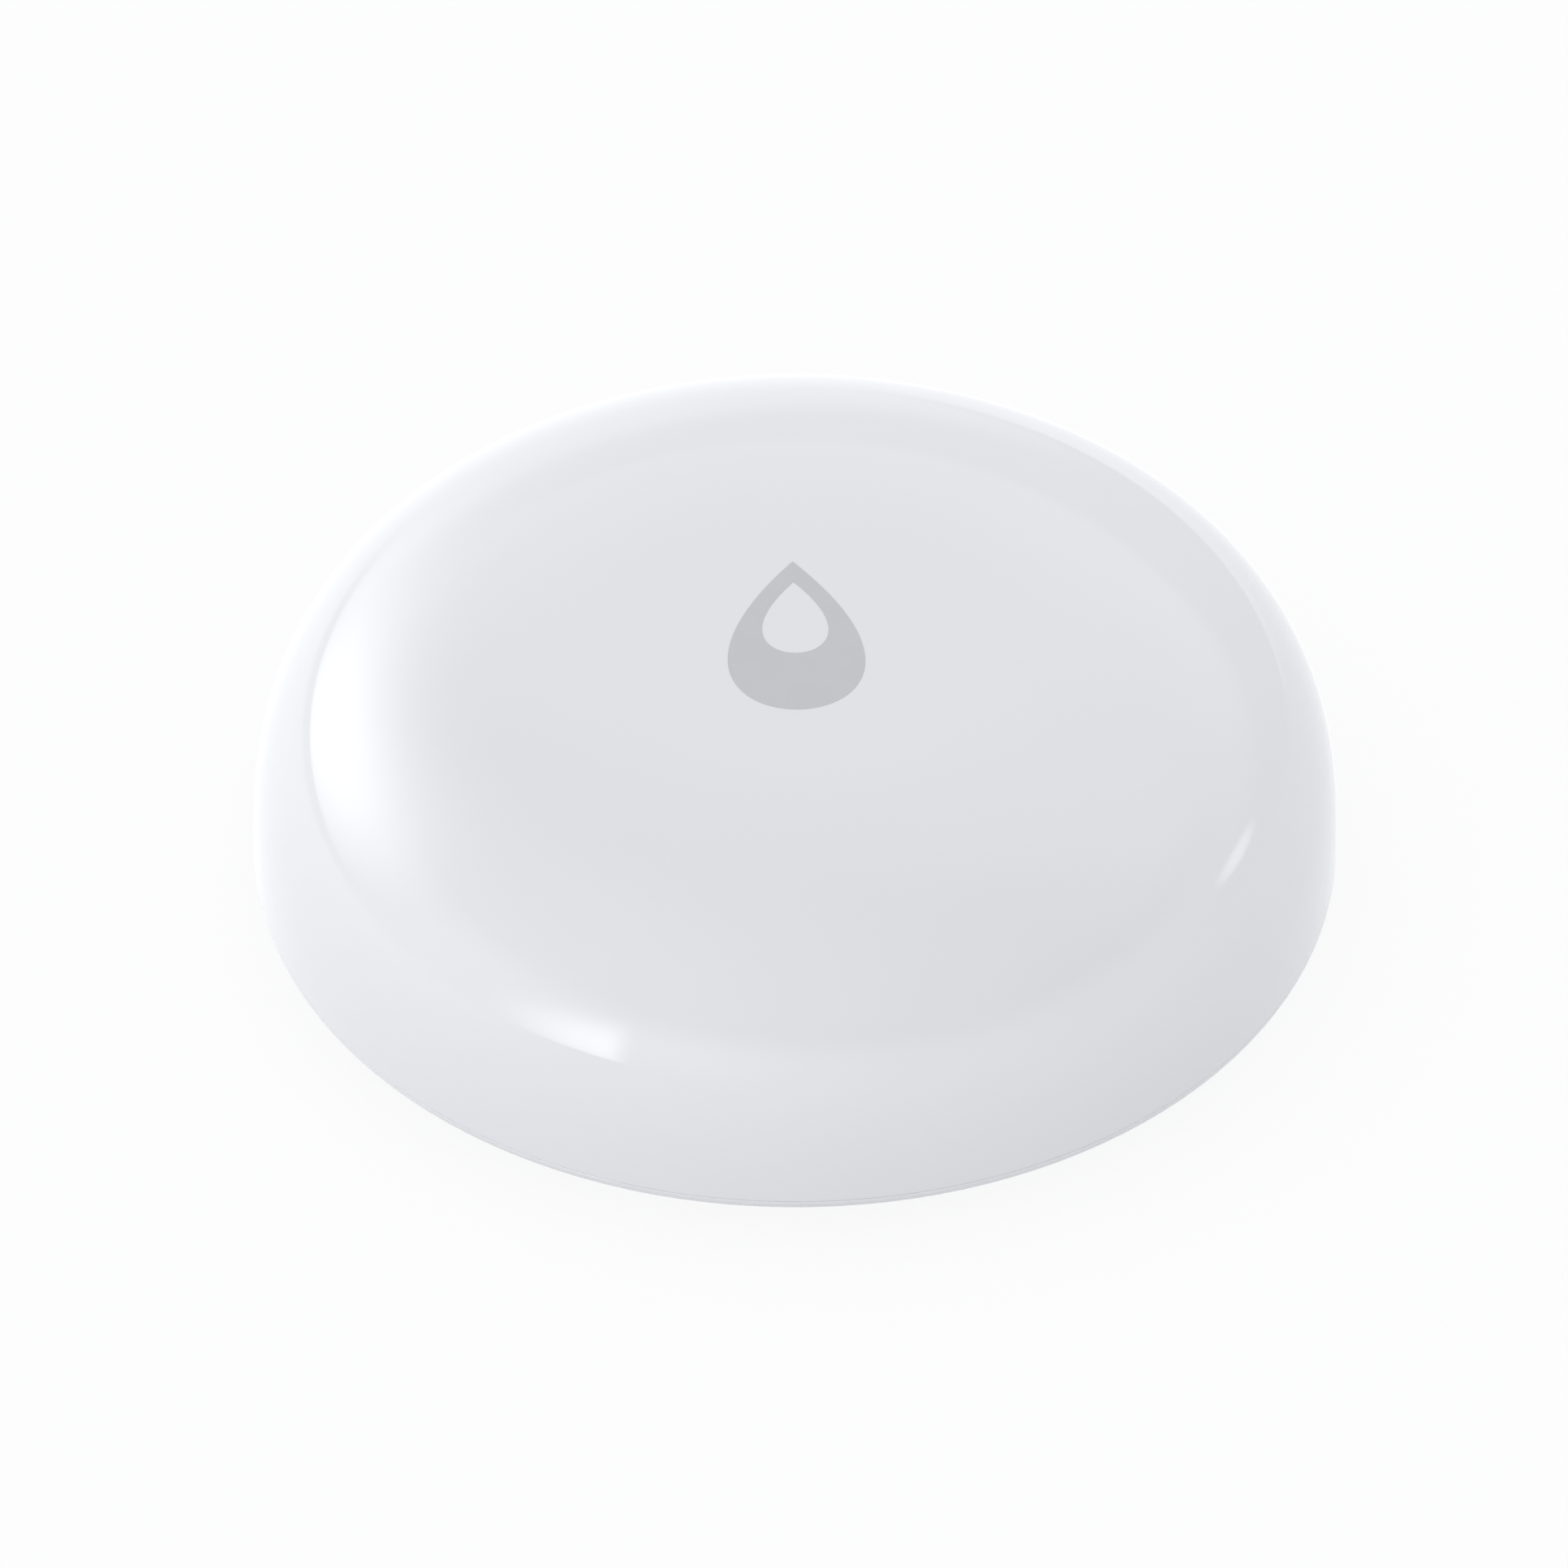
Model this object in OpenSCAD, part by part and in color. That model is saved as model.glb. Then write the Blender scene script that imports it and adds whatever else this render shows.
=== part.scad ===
// Water leak sensor: a sealed round puck that lies on the floor. Two probes under it close
// a circuit through standing water, and a coin cell feeds the radio inside.
// Frame: +Z up, origin on the floor under the middle, tip of the drop mark towards +Y.
// Lengths in millimetres, angles in degrees.

/* [Case] */
// Widest diameter of the case
body_d = 50; // [48:0.5:60]
// Height from the floor to the crown of the dome
body_h = 15; // [13.5:0.1:20]
// Wall of the domed top shell
shell_wall = 1.6; // [1.2:0.1:2]
// Fullness of the dome's shoulder, where 2 is an ellipse
shoulder_power = 5; // [4:0.5:8]
// Uprightness of the dome's side, where 2 is an ellipse
side_power = 2.9; // [2.2:0.1:3.4]
// Height of the rim's lower edge above the floor
rim_lift = 1.95; // [1.8:0.05:2.6]
// Height of the base's edge that shows below the top shell
rim_edge = 0.65; // [0.3:0.05:0.8]
// Reach of the rounding at the foot of that edge
rim_round = 0.6; // [0.3:0.05:0.8]
// How far that edge stands back from the top shell
rim_step = 0.03; // [0.02:0.01:0.3]
// Chamfer of the edges along the seam
seam_chamfer = 0.06; // [0.05:0.01:0.15]
// Skin left in front of the status light, which shines through it
light_skin = 0.7; // [0.5:0.1:1]
// Diameter of the thinned spot in front of the status light
light_spot_d = 3.2; // [2.4:0.2:5]

/* [Drop mark] */
// Length of the drop, from its tip to its round end
mark_l = 10.4; // [6:0.2:14]
// Width of the drop
mark_w = 6.3; // [4:0.1:9]
// Length of the bare drop inside it
mark_hole_l = 5; // [3:0.2:6]
// Width of the bare drop inside it
mark_hole_w = 3.05; // [2:0.05:3.6]
// How far the bare drop's middle lies from the mark's middle, towards the tip
mark_hole_y = 1.25; // [0:0.05:1.4]
// Thickness of the printed film
mark_t = 0.1; // [0.06:0.01:0.2]

/* [Base] */
// How far the feet and probes stand out of the underside
foot_h = 0.5; // [0.4:0.05:0.7]
// Diameter of a foot
foot_d = 4; // [3:0.1:4.6]
// Chamfer of a foot's edge
foot_chamfer = 0.2; // [0.1:0.05:0.3]
// Thickness of the base's floor
floor_t = 1.5; // [1.2:0.1:1.8]
// Height of the underside's upright edge
underside_edge = 0.5; // [0.3:0.1:0.8]
// Flat left around the probes at the underside's edge
underside_margin = 0.5; // [0.3:0.1:0.8]
// Height of the skirt that plugs into the top shell
skirt_h = 4.4; // [4:0.1:5]
// Thickness of the skirt
skirt_t = 2; // [1.7:0.1:2.3]
// Clearance between the skirt and the top shell
skirt_gap = 0.1; // [0.05:0.01:0.15]
// Radius of the bead that snaps into the top shell
snap_r = 0.3; // [0.25:0.01:0.4]
// How far the bead stands out of the skirt
snap_reach = 0.2; // [0.15:0.01:0.24]
// Height of the bead below the skirt's top
snap_drop = 1; // [0.8:0.1:1.2]
// Clearance round the bead in its groove
snap_gap = 0.08; // [0.05:0.01:0.1]
// Cord of the seal between the shells, as squeezed
shell_seal_d = 0.85; // [0.7:0.05:1]
// Height of that seal's middle above the seam
shell_seal_h = 1.4; // [1.1:0.1:1.6]
// Extra width of a seal's groove
seal_room = 0.3; // [0.2:0.05:0.5]
// Clearance that keeps a squeezed seal from its groove
seal_fit = 0.01; // [0.01:0.005:0.03]

/* [Coin cell] */
// Diameter of the cell
cell_d = 20; // [16:0.5:21]
// Thickness of the cell
cell_t = 3.2; // [2.5:0.1:3.6]
// Sheet of its can and cap
cell_wall = 0.25; // [0.2:0.05:0.3]
// Width of the rim round the cap
cell_rim = 1.4; // [1.2:0.1:2]
// Clearance between the cell's own layers
cell_fit = 0.03; // [0.02:0.01:0.05]
// Play of the cell above the cover
cell_play = 0.05; // [0.03:0.01:0.1]
// Room between the cell's side and the cover's cup
cell_gap = 0.75; // [0.65:0.05:1]
// Room for the spring contacts between the cell and the board
contact_room = 1.4; // [1:0.1:1.8]
// Sheet of the spring contacts
contact_t = 0.2; // [0.15:0.05:0.3]
// Width of the spring contacts
contact_w = 3; // [2:0.1:3.4]
// Soldered length of a contact
contact_pad = 3; // [2:0.1:4]
// Length of a contact's sprung arm
contact_arm = 4.6; // [3.5:0.1:5]
// Length of the turned-up end of an arm
contact_tip = 0.8; // [0.5:0.1:1.2]
// How far that end turns up
contact_lift = 0.3; // [0.2:0.1:0.5]
// Height of the side contact's lower end above the cell's bottom
contact_low = 0.8; // [0.6:0.1:1.2]
// Gap left where a contact bears
contact_fit = 0.02; // [0.01:0.01:0.04]

/* [Battery cover] */
// Thickness of the cover's disc
cover_t = 1.65; // [1.5:0.05:2]
// Wall of the cup that stands on the disc
cup_wall = 1; // [0.8:0.1:1.3]
// Running clearance of the cover in the base
cover_gap = 0.15; // [0.1:0.01:0.2]
// Number of bayonet lugs
lug_count = 3; // [2:1:4]
// How far a lug reaches out of the cup
lug_reach = 0.85; // [0.6:0.05:1]
// Thickness of a lug
lug_t = 0.8; // [0.6:0.05:1]
// Angle that a lug covers
lug_span = 24; // [16:1:28]
// Clearance of a lug above its ledge
lug_gap = 0.1; // [0.05:0.01:0.15]
// Clearance angle beside a lug
lug_slack = 2; // [1.5:0.5:3]
// Angle that the stop behind a locked lug covers
stop_span = 6; // [4:1:8]
// Thickness of the ledge that the lugs hook over
ledge_t = 1; // [0.8:0.1:1.2]
// Wall of the collar round the cover
collar_wall = 1.1; // [0.9:0.1:1.3]
// Turn from locked to open
twist = 35; // [30:1:40]
// Cord of the cover's seal, as squeezed
cover_seal_d = 0.8; // [0.6:0.05:1]
// Land beside the seal
seal_land = 0.1; // [0.05:0.05:0.2]
// Clearance between the seal and the base
seal_clear = 0.05; // [0.03:0.01:0.1]
// Diameter of the coin that turns the cover
coin_d = 22; // [18:0.5:26]
// Width of the coin slot
coin_w = 2; // [1.6:0.1:2.4]
// Depth of the coin slot
coin_depth = 1; // [0.6:0.1:1.1]
// Diameter of the dots that mark the locked and open places
dot_d = 1.2; // [0.8:0.1:1.4]
// Depth of the dots
dot_depth = 0.25; // [0.15:0.05:0.4]
// Distance of the dots from the edge between cover and base
dot_inset = 1.4; // [1.2:0.1:1.8]

/* [Probes] */
// Diameter of a probe's head
head_d = 4.6; // [4:0.1:5]
// Thickness of the head
head_t = 1; // [0.8:0.1:1.2]
// Chamfer of the head's edge
head_chamfer = 0.2; // [0.1:0.05:0.3]
// Clearance round the head
head_gap = 0.2; // [0.1:0.05:0.3]
// Diameter of the screw's shank
shank_d = 2.5; // [2:0.1:2.8]
// Clearance round the shank
shank_gap = 0.03; // [0.02:0.01:0.05]
// Length of the shank
shank_l = 4; // [3.4:0.1:4.4]
// Width of the cross recess
recess_w = 0.7; // [0.5:0.1:0.9]
// Length of the cross recess
recess_l = 2.8; // [2.2:0.1:3.2]
// Depth of the cross recess
recess_depth = 0.6; // [0.4:0.1:0.7]
// Cord of the seal under the head, as squeezed
probe_seal_d = 0.5; // [0.4:0.05:0.6]
// Plastic between that seal and the insert
probe_web = 0.6; // [0.5:0.1:0.8]
// Diameter of the threaded insert
insert_d = 3.6; // [3.4:0.1:4]
// Length of the insert
insert_l = 3.5; // [3:0.1:3.8]
// Width of the groove that anchors the insert
insert_groove_w = 0.8; // [0.5:0.1:1.2]
// Depth of that groove
insert_groove_depth = 0.25; // [0.15:0.05:0.3]
// Clearance round the insert
insert_fit = 0.01; // [0.01:0.005:0.02]
// Plastic round the insert
insert_wall = 0.9; // [0.7:0.1:1]

/* [Board] */
// Thickness of the circuit board
board_t = 1; // [0.8:0.1:1.2]
// Clearance between the board and the skirt
board_gap = 0.6; // [0.4:0.1:0.8]
// Number of board screws
screw_count = 3; // [3:1:4]
// Angle of the first board screw
screw_turn = 30; // [24:1:36]
// Diameter of a board screw
screw_d = 1.6; // [1.4:0.1:1.8]
// Length of a board screw below its head
screw_l = 4.4; // [3.5:0.1:4.6]
// Diameter of a board screw's head
screw_head_d = 3.2; // [2.8:0.1:3.6]
// Height of a board screw's head
screw_head_t = 1.1; // [0.9:0.1:1.3]
// Length of a board screw's cross recess
screw_recess_l = 1.6; // [1.2:0.1:2]
// Width of that recess
screw_recess_w = 0.4; // [0.3:0.05:0.5]
// Depth of that recess
screw_recess_depth = 0.55; // [0.4:0.05:0.7]
// Clearance round a board screw in its boss
screw_fit = 0.02; // [0.01:0.01:0.03]
// Clearance round a board screw in the board
screw_gap = 0.3; // [0.2:0.05:0.4]
// Spare depth of a screw's hole
screw_spare = 0.3; // [0.2:0.1:0.5]
// Plastic round a board screw
screw_wall = 1.3; // [1:0.1:1.5]
// Width of the key that stops the board from turning
key_w = 2; // [1.5:0.1:3]
// How far the key reaches into the board
key_reach = 1.6; // [1.2:0.1:2]
// Clearance round the key
key_gap = 0.15; // [0.1:0.05:0.25]

/* [Switch] */
// Side of the switch's housing
switch_w = 6; // [5.6:0.1:6.5]
// Height of the housing
switch_h = 3; // [2.6:0.1:3.4]
// Floor of the housing
switch_floor = 0.8; // [0.6:0.1:1]
// Bore of the housing
switch_bore_d = 4.6; // [4.4:0.1:5]
// Sheet of the frame that closes the housing
frame_t = 0.3; // [0.2:0.05:0.4]
// Length of the frame's side tabs
frame_tab_l = 1.4; // [1:0.1:1.8]
// Width of the frame's side tabs
frame_tab_w = 3; // [2:0.1:3.2]
// Diameter of the plunger's stem
stem_d = 3.4; // [3:0.1:3.6]
// Running clearance of the plunger
stem_gap = 0.1; // [0.05:0.01:0.1]
// Play between the plunger, its frame and the snap disc
stem_play = 0.03; // [0.02:0.01:0.04]
// Rise of the snap disc
disc_rise = 0.45; // [0.35:0.05:0.55]
// Sheet of the snap disc
disc_t = 0.12; // [0.08:0.01:0.15]
// Clearance round the snap disc
disc_gap = 0.2; // [0.1:0.05:0.3]
// Length of the press boss under the crown
press_boss_l = 0.5; // [0.3:0.05:1.4]
// Diameter of the press boss
press_boss_d = 4; // [3:0.1:5]
// Gap between the press boss and the plunger, whose stem follows the crown
press_gap = 0.05; // [0.03:0.01:0.1]
// Width of a switch terminal
terminal_w = 0.7; // [0.5:0.1:0.8]
// Sheet of a switch terminal
terminal_t = 0.25; // [0.2:0.05:0.3]
// Reach of a switch terminal out of the housing
terminal_reach = 1.4; // [1.1:0.1:1.6]
// Reach of a switch terminal to its bend
terminal_bend = 0.7; // [0.5:0.1:0.9]
// Height at which a terminal leaves the housing
terminal_h = 0.6; // [0.4:0.1:0.8]

/* [Electronic parts] */
// Side of the radio chip
chip_w = 6; // [5:0.1:7]
// Height of the radio chip
chip_t = 0.9; // [0.7:0.1:1.2]
// Diameter of the dimple at the chip's first pin
chip_dimple_d = 0.8; // [0.5:0.1:1]
// Depth of that dimple
chip_dimple_depth = 0.12; // [0.08:0.02:0.2]
// Length of the crystal
crystal_l = 3.2; // [2.5:0.1:4]
// Width of the crystal
crystal_w = 2.5; // [2:0.1:3]
// Height of the crystal
crystal_t = 0.8; // [0.6:0.1:1]
// Height of the base under the crystal's metal lid
crystal_base_t = 0.4; // [0.3:0.05:0.5]
// Step of the crystal's metal lid
crystal_step = 0.25; // [0.2:0.05:0.3]
// Length of the chip antenna
antenna_l = 7; // [5:0.5:9]
// Width of the chip antenna
antenna_w = 2; // [1.5:0.1:2.5]
// Height of the chip antenna
antenna_t = 1; // [0.8:0.1:1.3]
// Distance of the antenna's middle from the board's edge
antenna_inset = 3.6; // [3:0.1:4.5]
// Length of the status light
led_l = 1.6; // [1:0.1:2]
// Width of the status light
led_w = 0.8; // [0.5:0.1:1.2]
// Height of the status light
led_t = 0.7; // [0.5:0.1:0.9]
// Height of the light's base
led_base_t = 0.35; // [0.25:0.05:0.45]
// Length of the light's lens
led_lens_l = 1.05; // [0.7:0.05:1.4]
// Length of the bulk capacitor
bulk_l = 3.5; // [3:0.1:4]
// Width of the bulk capacitor
bulk_w = 2.8; // [2.2:0.1:3.2]
// Height of the bulk capacitor
bulk_t = 1.9; // [1.5:0.1:2.2]
// Length of a small chip part
chip_part_l = 1.6; // [1:0.1:1.8]
// Width of a small chip part
chip_part_w = 0.8; // [0.5:0.1:1]
// Height of a small capacitor
capacitor_t = 0.8; // [0.5:0.1:1]
// Height of a small resistor
resistor_t = 0.45; // [0.3:0.05:0.6]

/* [Hidden] */
$fn = 96;
// Extra length that carries a cut through the face it opens
over = 0.02;
// Straight lengths along the dome's profile, along the rim's rounding and round the drop
dome_steps = 40;
rim_steps = 6;
mark_steps = 48;
// Angle that the rim's rounding turns through, where it meets the underside
rim_turn = 75;

// Case, from the floor up
body_r = body_d / 2;
seam_z = rim_lift + rim_edge;
rim_r = body_r - rim_step;
rim_top_z = seam_z - seam_chamfer;
rim_drop = (rim_top_z - rim_lift) / sin(rim_turn);
dome_h = body_h - seam_z;
crown_in_z = body_h - shell_wall;
bore_r = body_r - shell_wall;
skirt_r = bore_r - skirt_gap;
skirt_in_r = skirt_r - skirt_t;
skirt_top_z = seam_z + skirt_h;
bore_top_z = skirt_top_z + skirt_gap;
snap_mid_r = skirt_r + snap_reach - snap_r;
snap_z = skirt_top_z - snap_drop;
shell_seal_r = bore_r - seal_fit - shell_seal_d / 2;
shell_seal_z = seam_z + shell_seal_h;
floor_z = foot_h + floor_t;

// Battery cover and the collar that it locks in
cell_r = cell_d / 2;
cup_in_r = cell_r + cell_gap;
cup_r = cup_in_r + cup_wall;
lug_r = cup_r + lug_reach;
ledge_r = cup_r + cover_gap;
slot_r = lug_r + cover_gap;
cover_seal_r = slot_r + seal_land + cover_seal_d / 2;
cover_r = cover_seal_r + cover_seal_d / 2 + seal_land;
pocket_r = cover_r + cover_gap;
collar_r = pocket_r + collar_wall;
cover_top_z = foot_h + cover_t;
step_z = cover_top_z + cover_seal_d + seal_clear;
ledge_z = step_z + ledge_t;
lug_z = ledge_z + lug_gap;
cup_top_z = lug_z + lug_t;
collar_top_z = cup_top_z + lug_gap;
lug_step = 360 / lug_count;
lug_turn = 60;
dot_turn = 90;

// Coin cell and board
cell_z = cover_top_z + cell_play;
cell_top_z = cell_z + cell_t;
cap_r = cell_r - cell_rim;
board_z = cell_top_z + contact_room;
board_top_z = board_z + board_t;
board_r = skirt_in_r - board_gap;
ring_r = (collar_r + skirt_in_r) / 2;
screw_step = 360 / screw_count;
key_in_r = skirt_in_r - key_reach;
// The key ends inside the floor, above the slope of the underside
key_low_z = floor_z - floor_t / 4;

// Probes
head_r = head_d / 2;
underside_r = ring_r + head_r + head_gap + underside_margin;
probe_seat_z = head_t + probe_seal_d + 2 * seal_fit;
probe_seal_r = shank_d / 2 + shank_gap + probe_seal_d / 2 + seal_fit;
insert_z = probe_seat_z + probe_web;
insert_top_z = insert_z + insert_l;
insert_mid_z = insert_z + insert_l / 2;

// Switch
switch_top_z = board_top_z + switch_h;
disc_z = board_top_z + switch_floor + stem_play;
disc_r = switch_bore_d / 2 - disc_gap;
disc_sphere_r = (disc_r * disc_r + disc_rise * disc_rise) / (2 * disc_rise);
plunger_z = disc_z + disc_rise + stem_play;
press_z = crown_in_z - press_boss_l;
stem_top_z = press_z - press_gap;

// Places on the board, measured from its middle
chip_spot = [-10.5, 4.5];
crystal_spot = [-10.5, -2];
led_spot = [0, 6.5];
bulk_spot = [9.5, -6];
antenna_spot = [0, board_r - antenna_inset];
capacitor_spots = [[-6, -5.5], [-6, -7.5], [-3, -8.5], [-13, -6], [-6, 9.5], [6.5, 5], [6.5, 12.5]];
resistor_spots = [[3, -8.5], [3, -10.5], [9, 1.5], [9, 5], [-3, 9.5], [-10, -9], [9, 10], [-9, 11.5]];

// Half of the dome's profile from height z up to the crown
function dome_line(r, h, z) =
    let (start = asin(pow((z - seam_z) / h, side_power / 2)))
    [for (i = [0:dome_steps])
        let (a = start + (90 - start) * i / dome_steps)
        [r * pow(cos(a), 2 / shoulder_power), seam_z + h * pow(sin(a), 2 / side_power)]];

// Rounding of the base's edge, from its foot up to the chamfer at the seam
function rim_line() =
    [for (i = [rim_steps:-1:0])
        let (t = rim_turn * i / rim_steps)
        [rim_r - rim_round * (1 - cos(t)), rim_top_z - rim_drop * sin(t)]];

// Teardrop curve of a given length and width, with its tip towards +Y
function drop_points(l, w) =
    let (widest = 4 / (3 * sqrt(3)))
    [for (i = [0:mark_steps - 1])
        let (t = 360 * i / mark_steps)
        [w / (2 * widest) * sin(t) * abs(sin(t / 2)), l / 2 * cos(t)]];

// Outline of a sheet strip: its upper line, and the same line one sheet lower
function strip_points(line, t) =
    concat(line, [for (i = [len(line) - 1:-1:0]) line[i] - [0, t]]);

module ring(r_in, r_out, z_low, z_high) {
    rotate_extrude()
        translate([r_in, z_low])
            square([r_out - r_in, z_high - z_low]);
}

module sector(r_in, r_out, z_low, z_high, middle, span) {
    rotate([0, 0, middle - span / 2])
        rotate_extrude(angle = span)
            translate([r_in, z_low])
                square([r_out - r_in, z_high - z_low]);
}

module cord_ring(r, cord_d, z) {
    rotate_extrude()
        translate([r, z])
            circle(d = cord_d);
}

module disc(r, z_low, z_high) {
    translate([0, 0, z_low])
        cylinder(r = r, h = z_high - z_low);
}

module block(l, w, z_low, z_high) {
    translate([-l / 2, -w / 2, z_low])
        cube([l, w, z_high - z_low]);
}

// Pieces that come in pairs at the two probes
module at_probes() {
    for (side = [0, 180])
        rotate([0, 0, side])
            translate([ring_r, 0, 0])
                children();
}

module at_feet() {
    for (side = [90, 270])
        rotate([0, 0, side])
            translate([ring_r, 0, 0])
                children();
}

module at_board_screws() {
    for (i = [0:screw_count - 1])
        rotate([0, 0, screw_turn + screw_step * i])
            translate([ring_r, 0, 0])
                children();
}

// Dome filled solid, from the seam to the crown
module dome() {
    rotate_extrude()
        polygon(concat(
            [[0, seam_z], [body_r - seam_chamfer, seam_z]],
            dome_line(body_r, dome_h, seam_z + seam_chamfer)));
}

module dome_cavity() {
    rotate_extrude()
        polygon(concat(
            [[0, seam_z - over], [bore_r, seam_z - over], [bore_r, bore_top_z]],
            dome_line(bore_r, crown_in_z - seam_z, bore_top_z)));
}

module drop_prism(low, high) {
    translate([0, 0, low])
        linear_extrude(height = high - low)
            difference() {
                polygon(drop_points(mark_l, mark_w));
                translate([0, mark_hole_y])
                    polygon(drop_points(mark_hole_l, mark_hole_w));
            }
}

module top_shell() {
    color("whitesmoke")
        difference() {
            union() {
                difference() {
                    dome();
                    dome_cavity();
                }
                disc(press_boss_d / 2, press_z, crown_in_z + shell_wall / 2);
            }
            translate([led_spot[0], led_spot[1], 0])
                disc(light_spot_d / 2, press_z, body_h - light_skin);
            cord_ring(snap_mid_r, 2 * (snap_r + snap_gap), snap_z);
            drop_prism(body_h - mark_t, body_h + over);
        }
}

module drop_mark() {
    color("darkgray")
        intersection() {
            dome();
            drop_prism(body_h - mark_t, body_h + over);
        }
}

module base_outline() {
    polygon(concat(
        [
            [0, foot_h],
            [underside_r, foot_h],
            [underside_r, foot_h + underside_edge],
        ],
        rim_line(),
        [
            [rim_r - seam_chamfer, seam_z],
            [skirt_r, seam_z],
            [skirt_r, skirt_top_z - seam_chamfer],
            [skirt_r - seam_chamfer, skirt_top_z],
            [skirt_in_r, skirt_top_z],
            [skirt_in_r, floor_z],
            [0, floor_z],
        ]));
}

module foot() {
    rotate_extrude()
        polygon([
            [0, 0],
            [foot_d / 2 - foot_chamfer, 0],
            [foot_d / 2, foot_chamfer],
            [foot_d / 2, foot_h + floor_t / 2],
            [0, foot_h + floor_t / 2],
        ]);
}

module base_solid() {
    rotate_extrude()
        base_outline();
    cord_ring(snap_mid_r, 2 * snap_r, snap_z);
    disc(collar_r, foot_h + floor_t / 2, collar_top_z);
    at_probes()
        disc(insert_d / 2 + insert_wall, foot_h + floor_t / 2, insert_top_z);
    at_board_screws()
        disc(screw_d / 2 + screw_wall, foot_h + floor_t / 2, board_z);
    at_feet()
        foot();
    rotate([0, 0, 90])
        translate([key_in_r, -key_w / 2, key_low_z])
            cube([key_reach + skirt_t / 2, key_w, skirt_top_z - key_low_z]);
}

module cover_opening() {
    disc(pocket_r, foot_h - over, step_z);
    disc(slot_r, step_z - over, collar_top_z + over);
}

// Ledges that the lugs hook over, with a way in for each lug between them
module lug_ledges() {
    for (i = [0:lug_count - 1])
        sector(ledge_r, slot_r + collar_wall / 2, step_z, ledge_z,
            lug_turn - twist + lug_step * (i + 1 / 2), lug_step - lug_span - 2 * lug_slack);
}

// Stops on the ledges that the lugs meet when they lock
module lug_stops() {
    for (i = [0:lug_count - 1])
        sector(ledge_r + cover_gap, slot_r + collar_wall / 2, ledge_z - ledge_t / 2, cup_top_z,
            lug_turn + (lug_span + stop_span) / 2 + lug_slack + lug_step * i, stop_span);
}

module probe_opening() {
    disc(head_r + head_gap, foot_h - over, probe_seat_z);
    disc(shank_d / 2 + shank_gap, probe_seat_z - over, insert_z + over);
    disc(insert_d / 2 + insert_fit, insert_z, insert_top_z + over);
}

module base_shell() {
    color("gainsboro") {
        difference() {
            base_solid();
            cover_opening();
            at_probes()
                probe_opening();
            at_board_screws()
                disc(screw_d / 2 + screw_fit, board_top_z - screw_l - screw_spare, board_z + over);
            ring(shell_seal_r - shell_seal_d / 2 - seal_fit, body_r,
                shell_seal_z - (shell_seal_d + seal_room) / 2, shell_seal_z + (shell_seal_d + seal_room) / 2);
            for (turn = [0, -twist])
                rotate([0, 0, dot_turn + turn])
                    translate([pocket_r + dot_inset - cover_gap, 0, 0])
                        disc(dot_d / 2, foot_h - over, foot_h + dot_depth);
        }
        lug_ledges();
        lug_stops();
    }
}

module shell_seal() {
    color("dimgray")
        cord_ring(shell_seal_r, shell_seal_d, shell_seal_z);
}

module battery_cover() {
    color("gainsboro")
        difference() {
            union() {
                disc(cover_r, foot_h, cover_top_z);
                ring(cup_in_r, cup_r, cover_top_z - cover_t / 2, cup_top_z);
                for (i = [0:lug_count - 1])
                    sector(cup_r - cup_wall / 2, lug_r, lug_z, cup_top_z, lug_turn + lug_step * i, lug_span);
            }
            translate([0, 0, foot_h + coin_depth - coin_d / 2])
                rotate([0, 90, 0])
                    cylinder(d = coin_d, h = coin_w, center = true);
            rotate([0, 0, dot_turn])
                translate([cover_r - dot_inset, 0, 0])
                    disc(dot_d / 2, foot_h - over, foot_h + dot_depth);
        }
}

module cover_seal() {
    color("dimgray")
        cord_ring(cover_seal_r, cover_seal_d, cover_top_z + cover_seal_d / 2);
}

module probe_screw() {
    difference() {
        union() {
            rotate_extrude()
                polygon([
                    [0, 0],
                    [head_r - head_chamfer, 0],
                    [head_r, head_chamfer],
                    [head_r, head_t],
                    [0, head_t],
                ]);
            disc(shank_d / 2, head_t / 2, head_t + shank_l);
        }
        for (turn = [0, 90])
            rotate([0, 0, turn])
                block(recess_l, recess_w, -over, recess_depth);
    }
}

module probe_screws() {
    color("silver")
        at_probes()
            probe_screw();
}

module probe_seals() {
    color("dimgray")
        at_probes()
            cord_ring(probe_seal_r, probe_seal_d, head_t + probe_seal_d / 2 + seal_fit);
}

module probe_inserts() {
    color("goldenrod")
        at_probes()
            difference() {
                disc(insert_d / 2, insert_z, insert_top_z);
                disc(shank_d / 2 + shank_gap, insert_z - over, insert_top_z + over);
                ring(insert_d / 2 - insert_groove_depth, insert_d,
                    insert_mid_z - insert_groove_w / 2, insert_mid_z + insert_groove_w / 2);
            }
}

// Leaf spring under the board, soldered at one end, that bears on a face at z after an arm's length
module board_leaf(bears_z) {
    low = bears_z + contact_fit + contact_t;
    rotate([90, 0, 0])
        linear_extrude(height = contact_w, center = true)
            polygon(strip_points([
                [-contact_arm - contact_pad, board_z],
                [-contact_arm, board_z],
                [0, low],
                [contact_tip, low + contact_lift],
            ], contact_t));
}

module probe_contacts() {
    color("khaki")
        at_probes()
            board_leaf(insert_top_z);
}

module circuit_board() {
    color("seagreen")
        difference() {
            disc(board_r, board_z, board_top_z);
            at_board_screws()
                disc(screw_d / 2 + screw_gap, board_z - over, board_top_z + over);
            rotate([0, 0, 90])
                translate([key_in_r - key_gap, -key_w / 2 - key_gap, board_z - over])
                    cube([key_reach + key_gap, key_w + 2 * key_gap, board_t + 2 * over]);
        }
}

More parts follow.
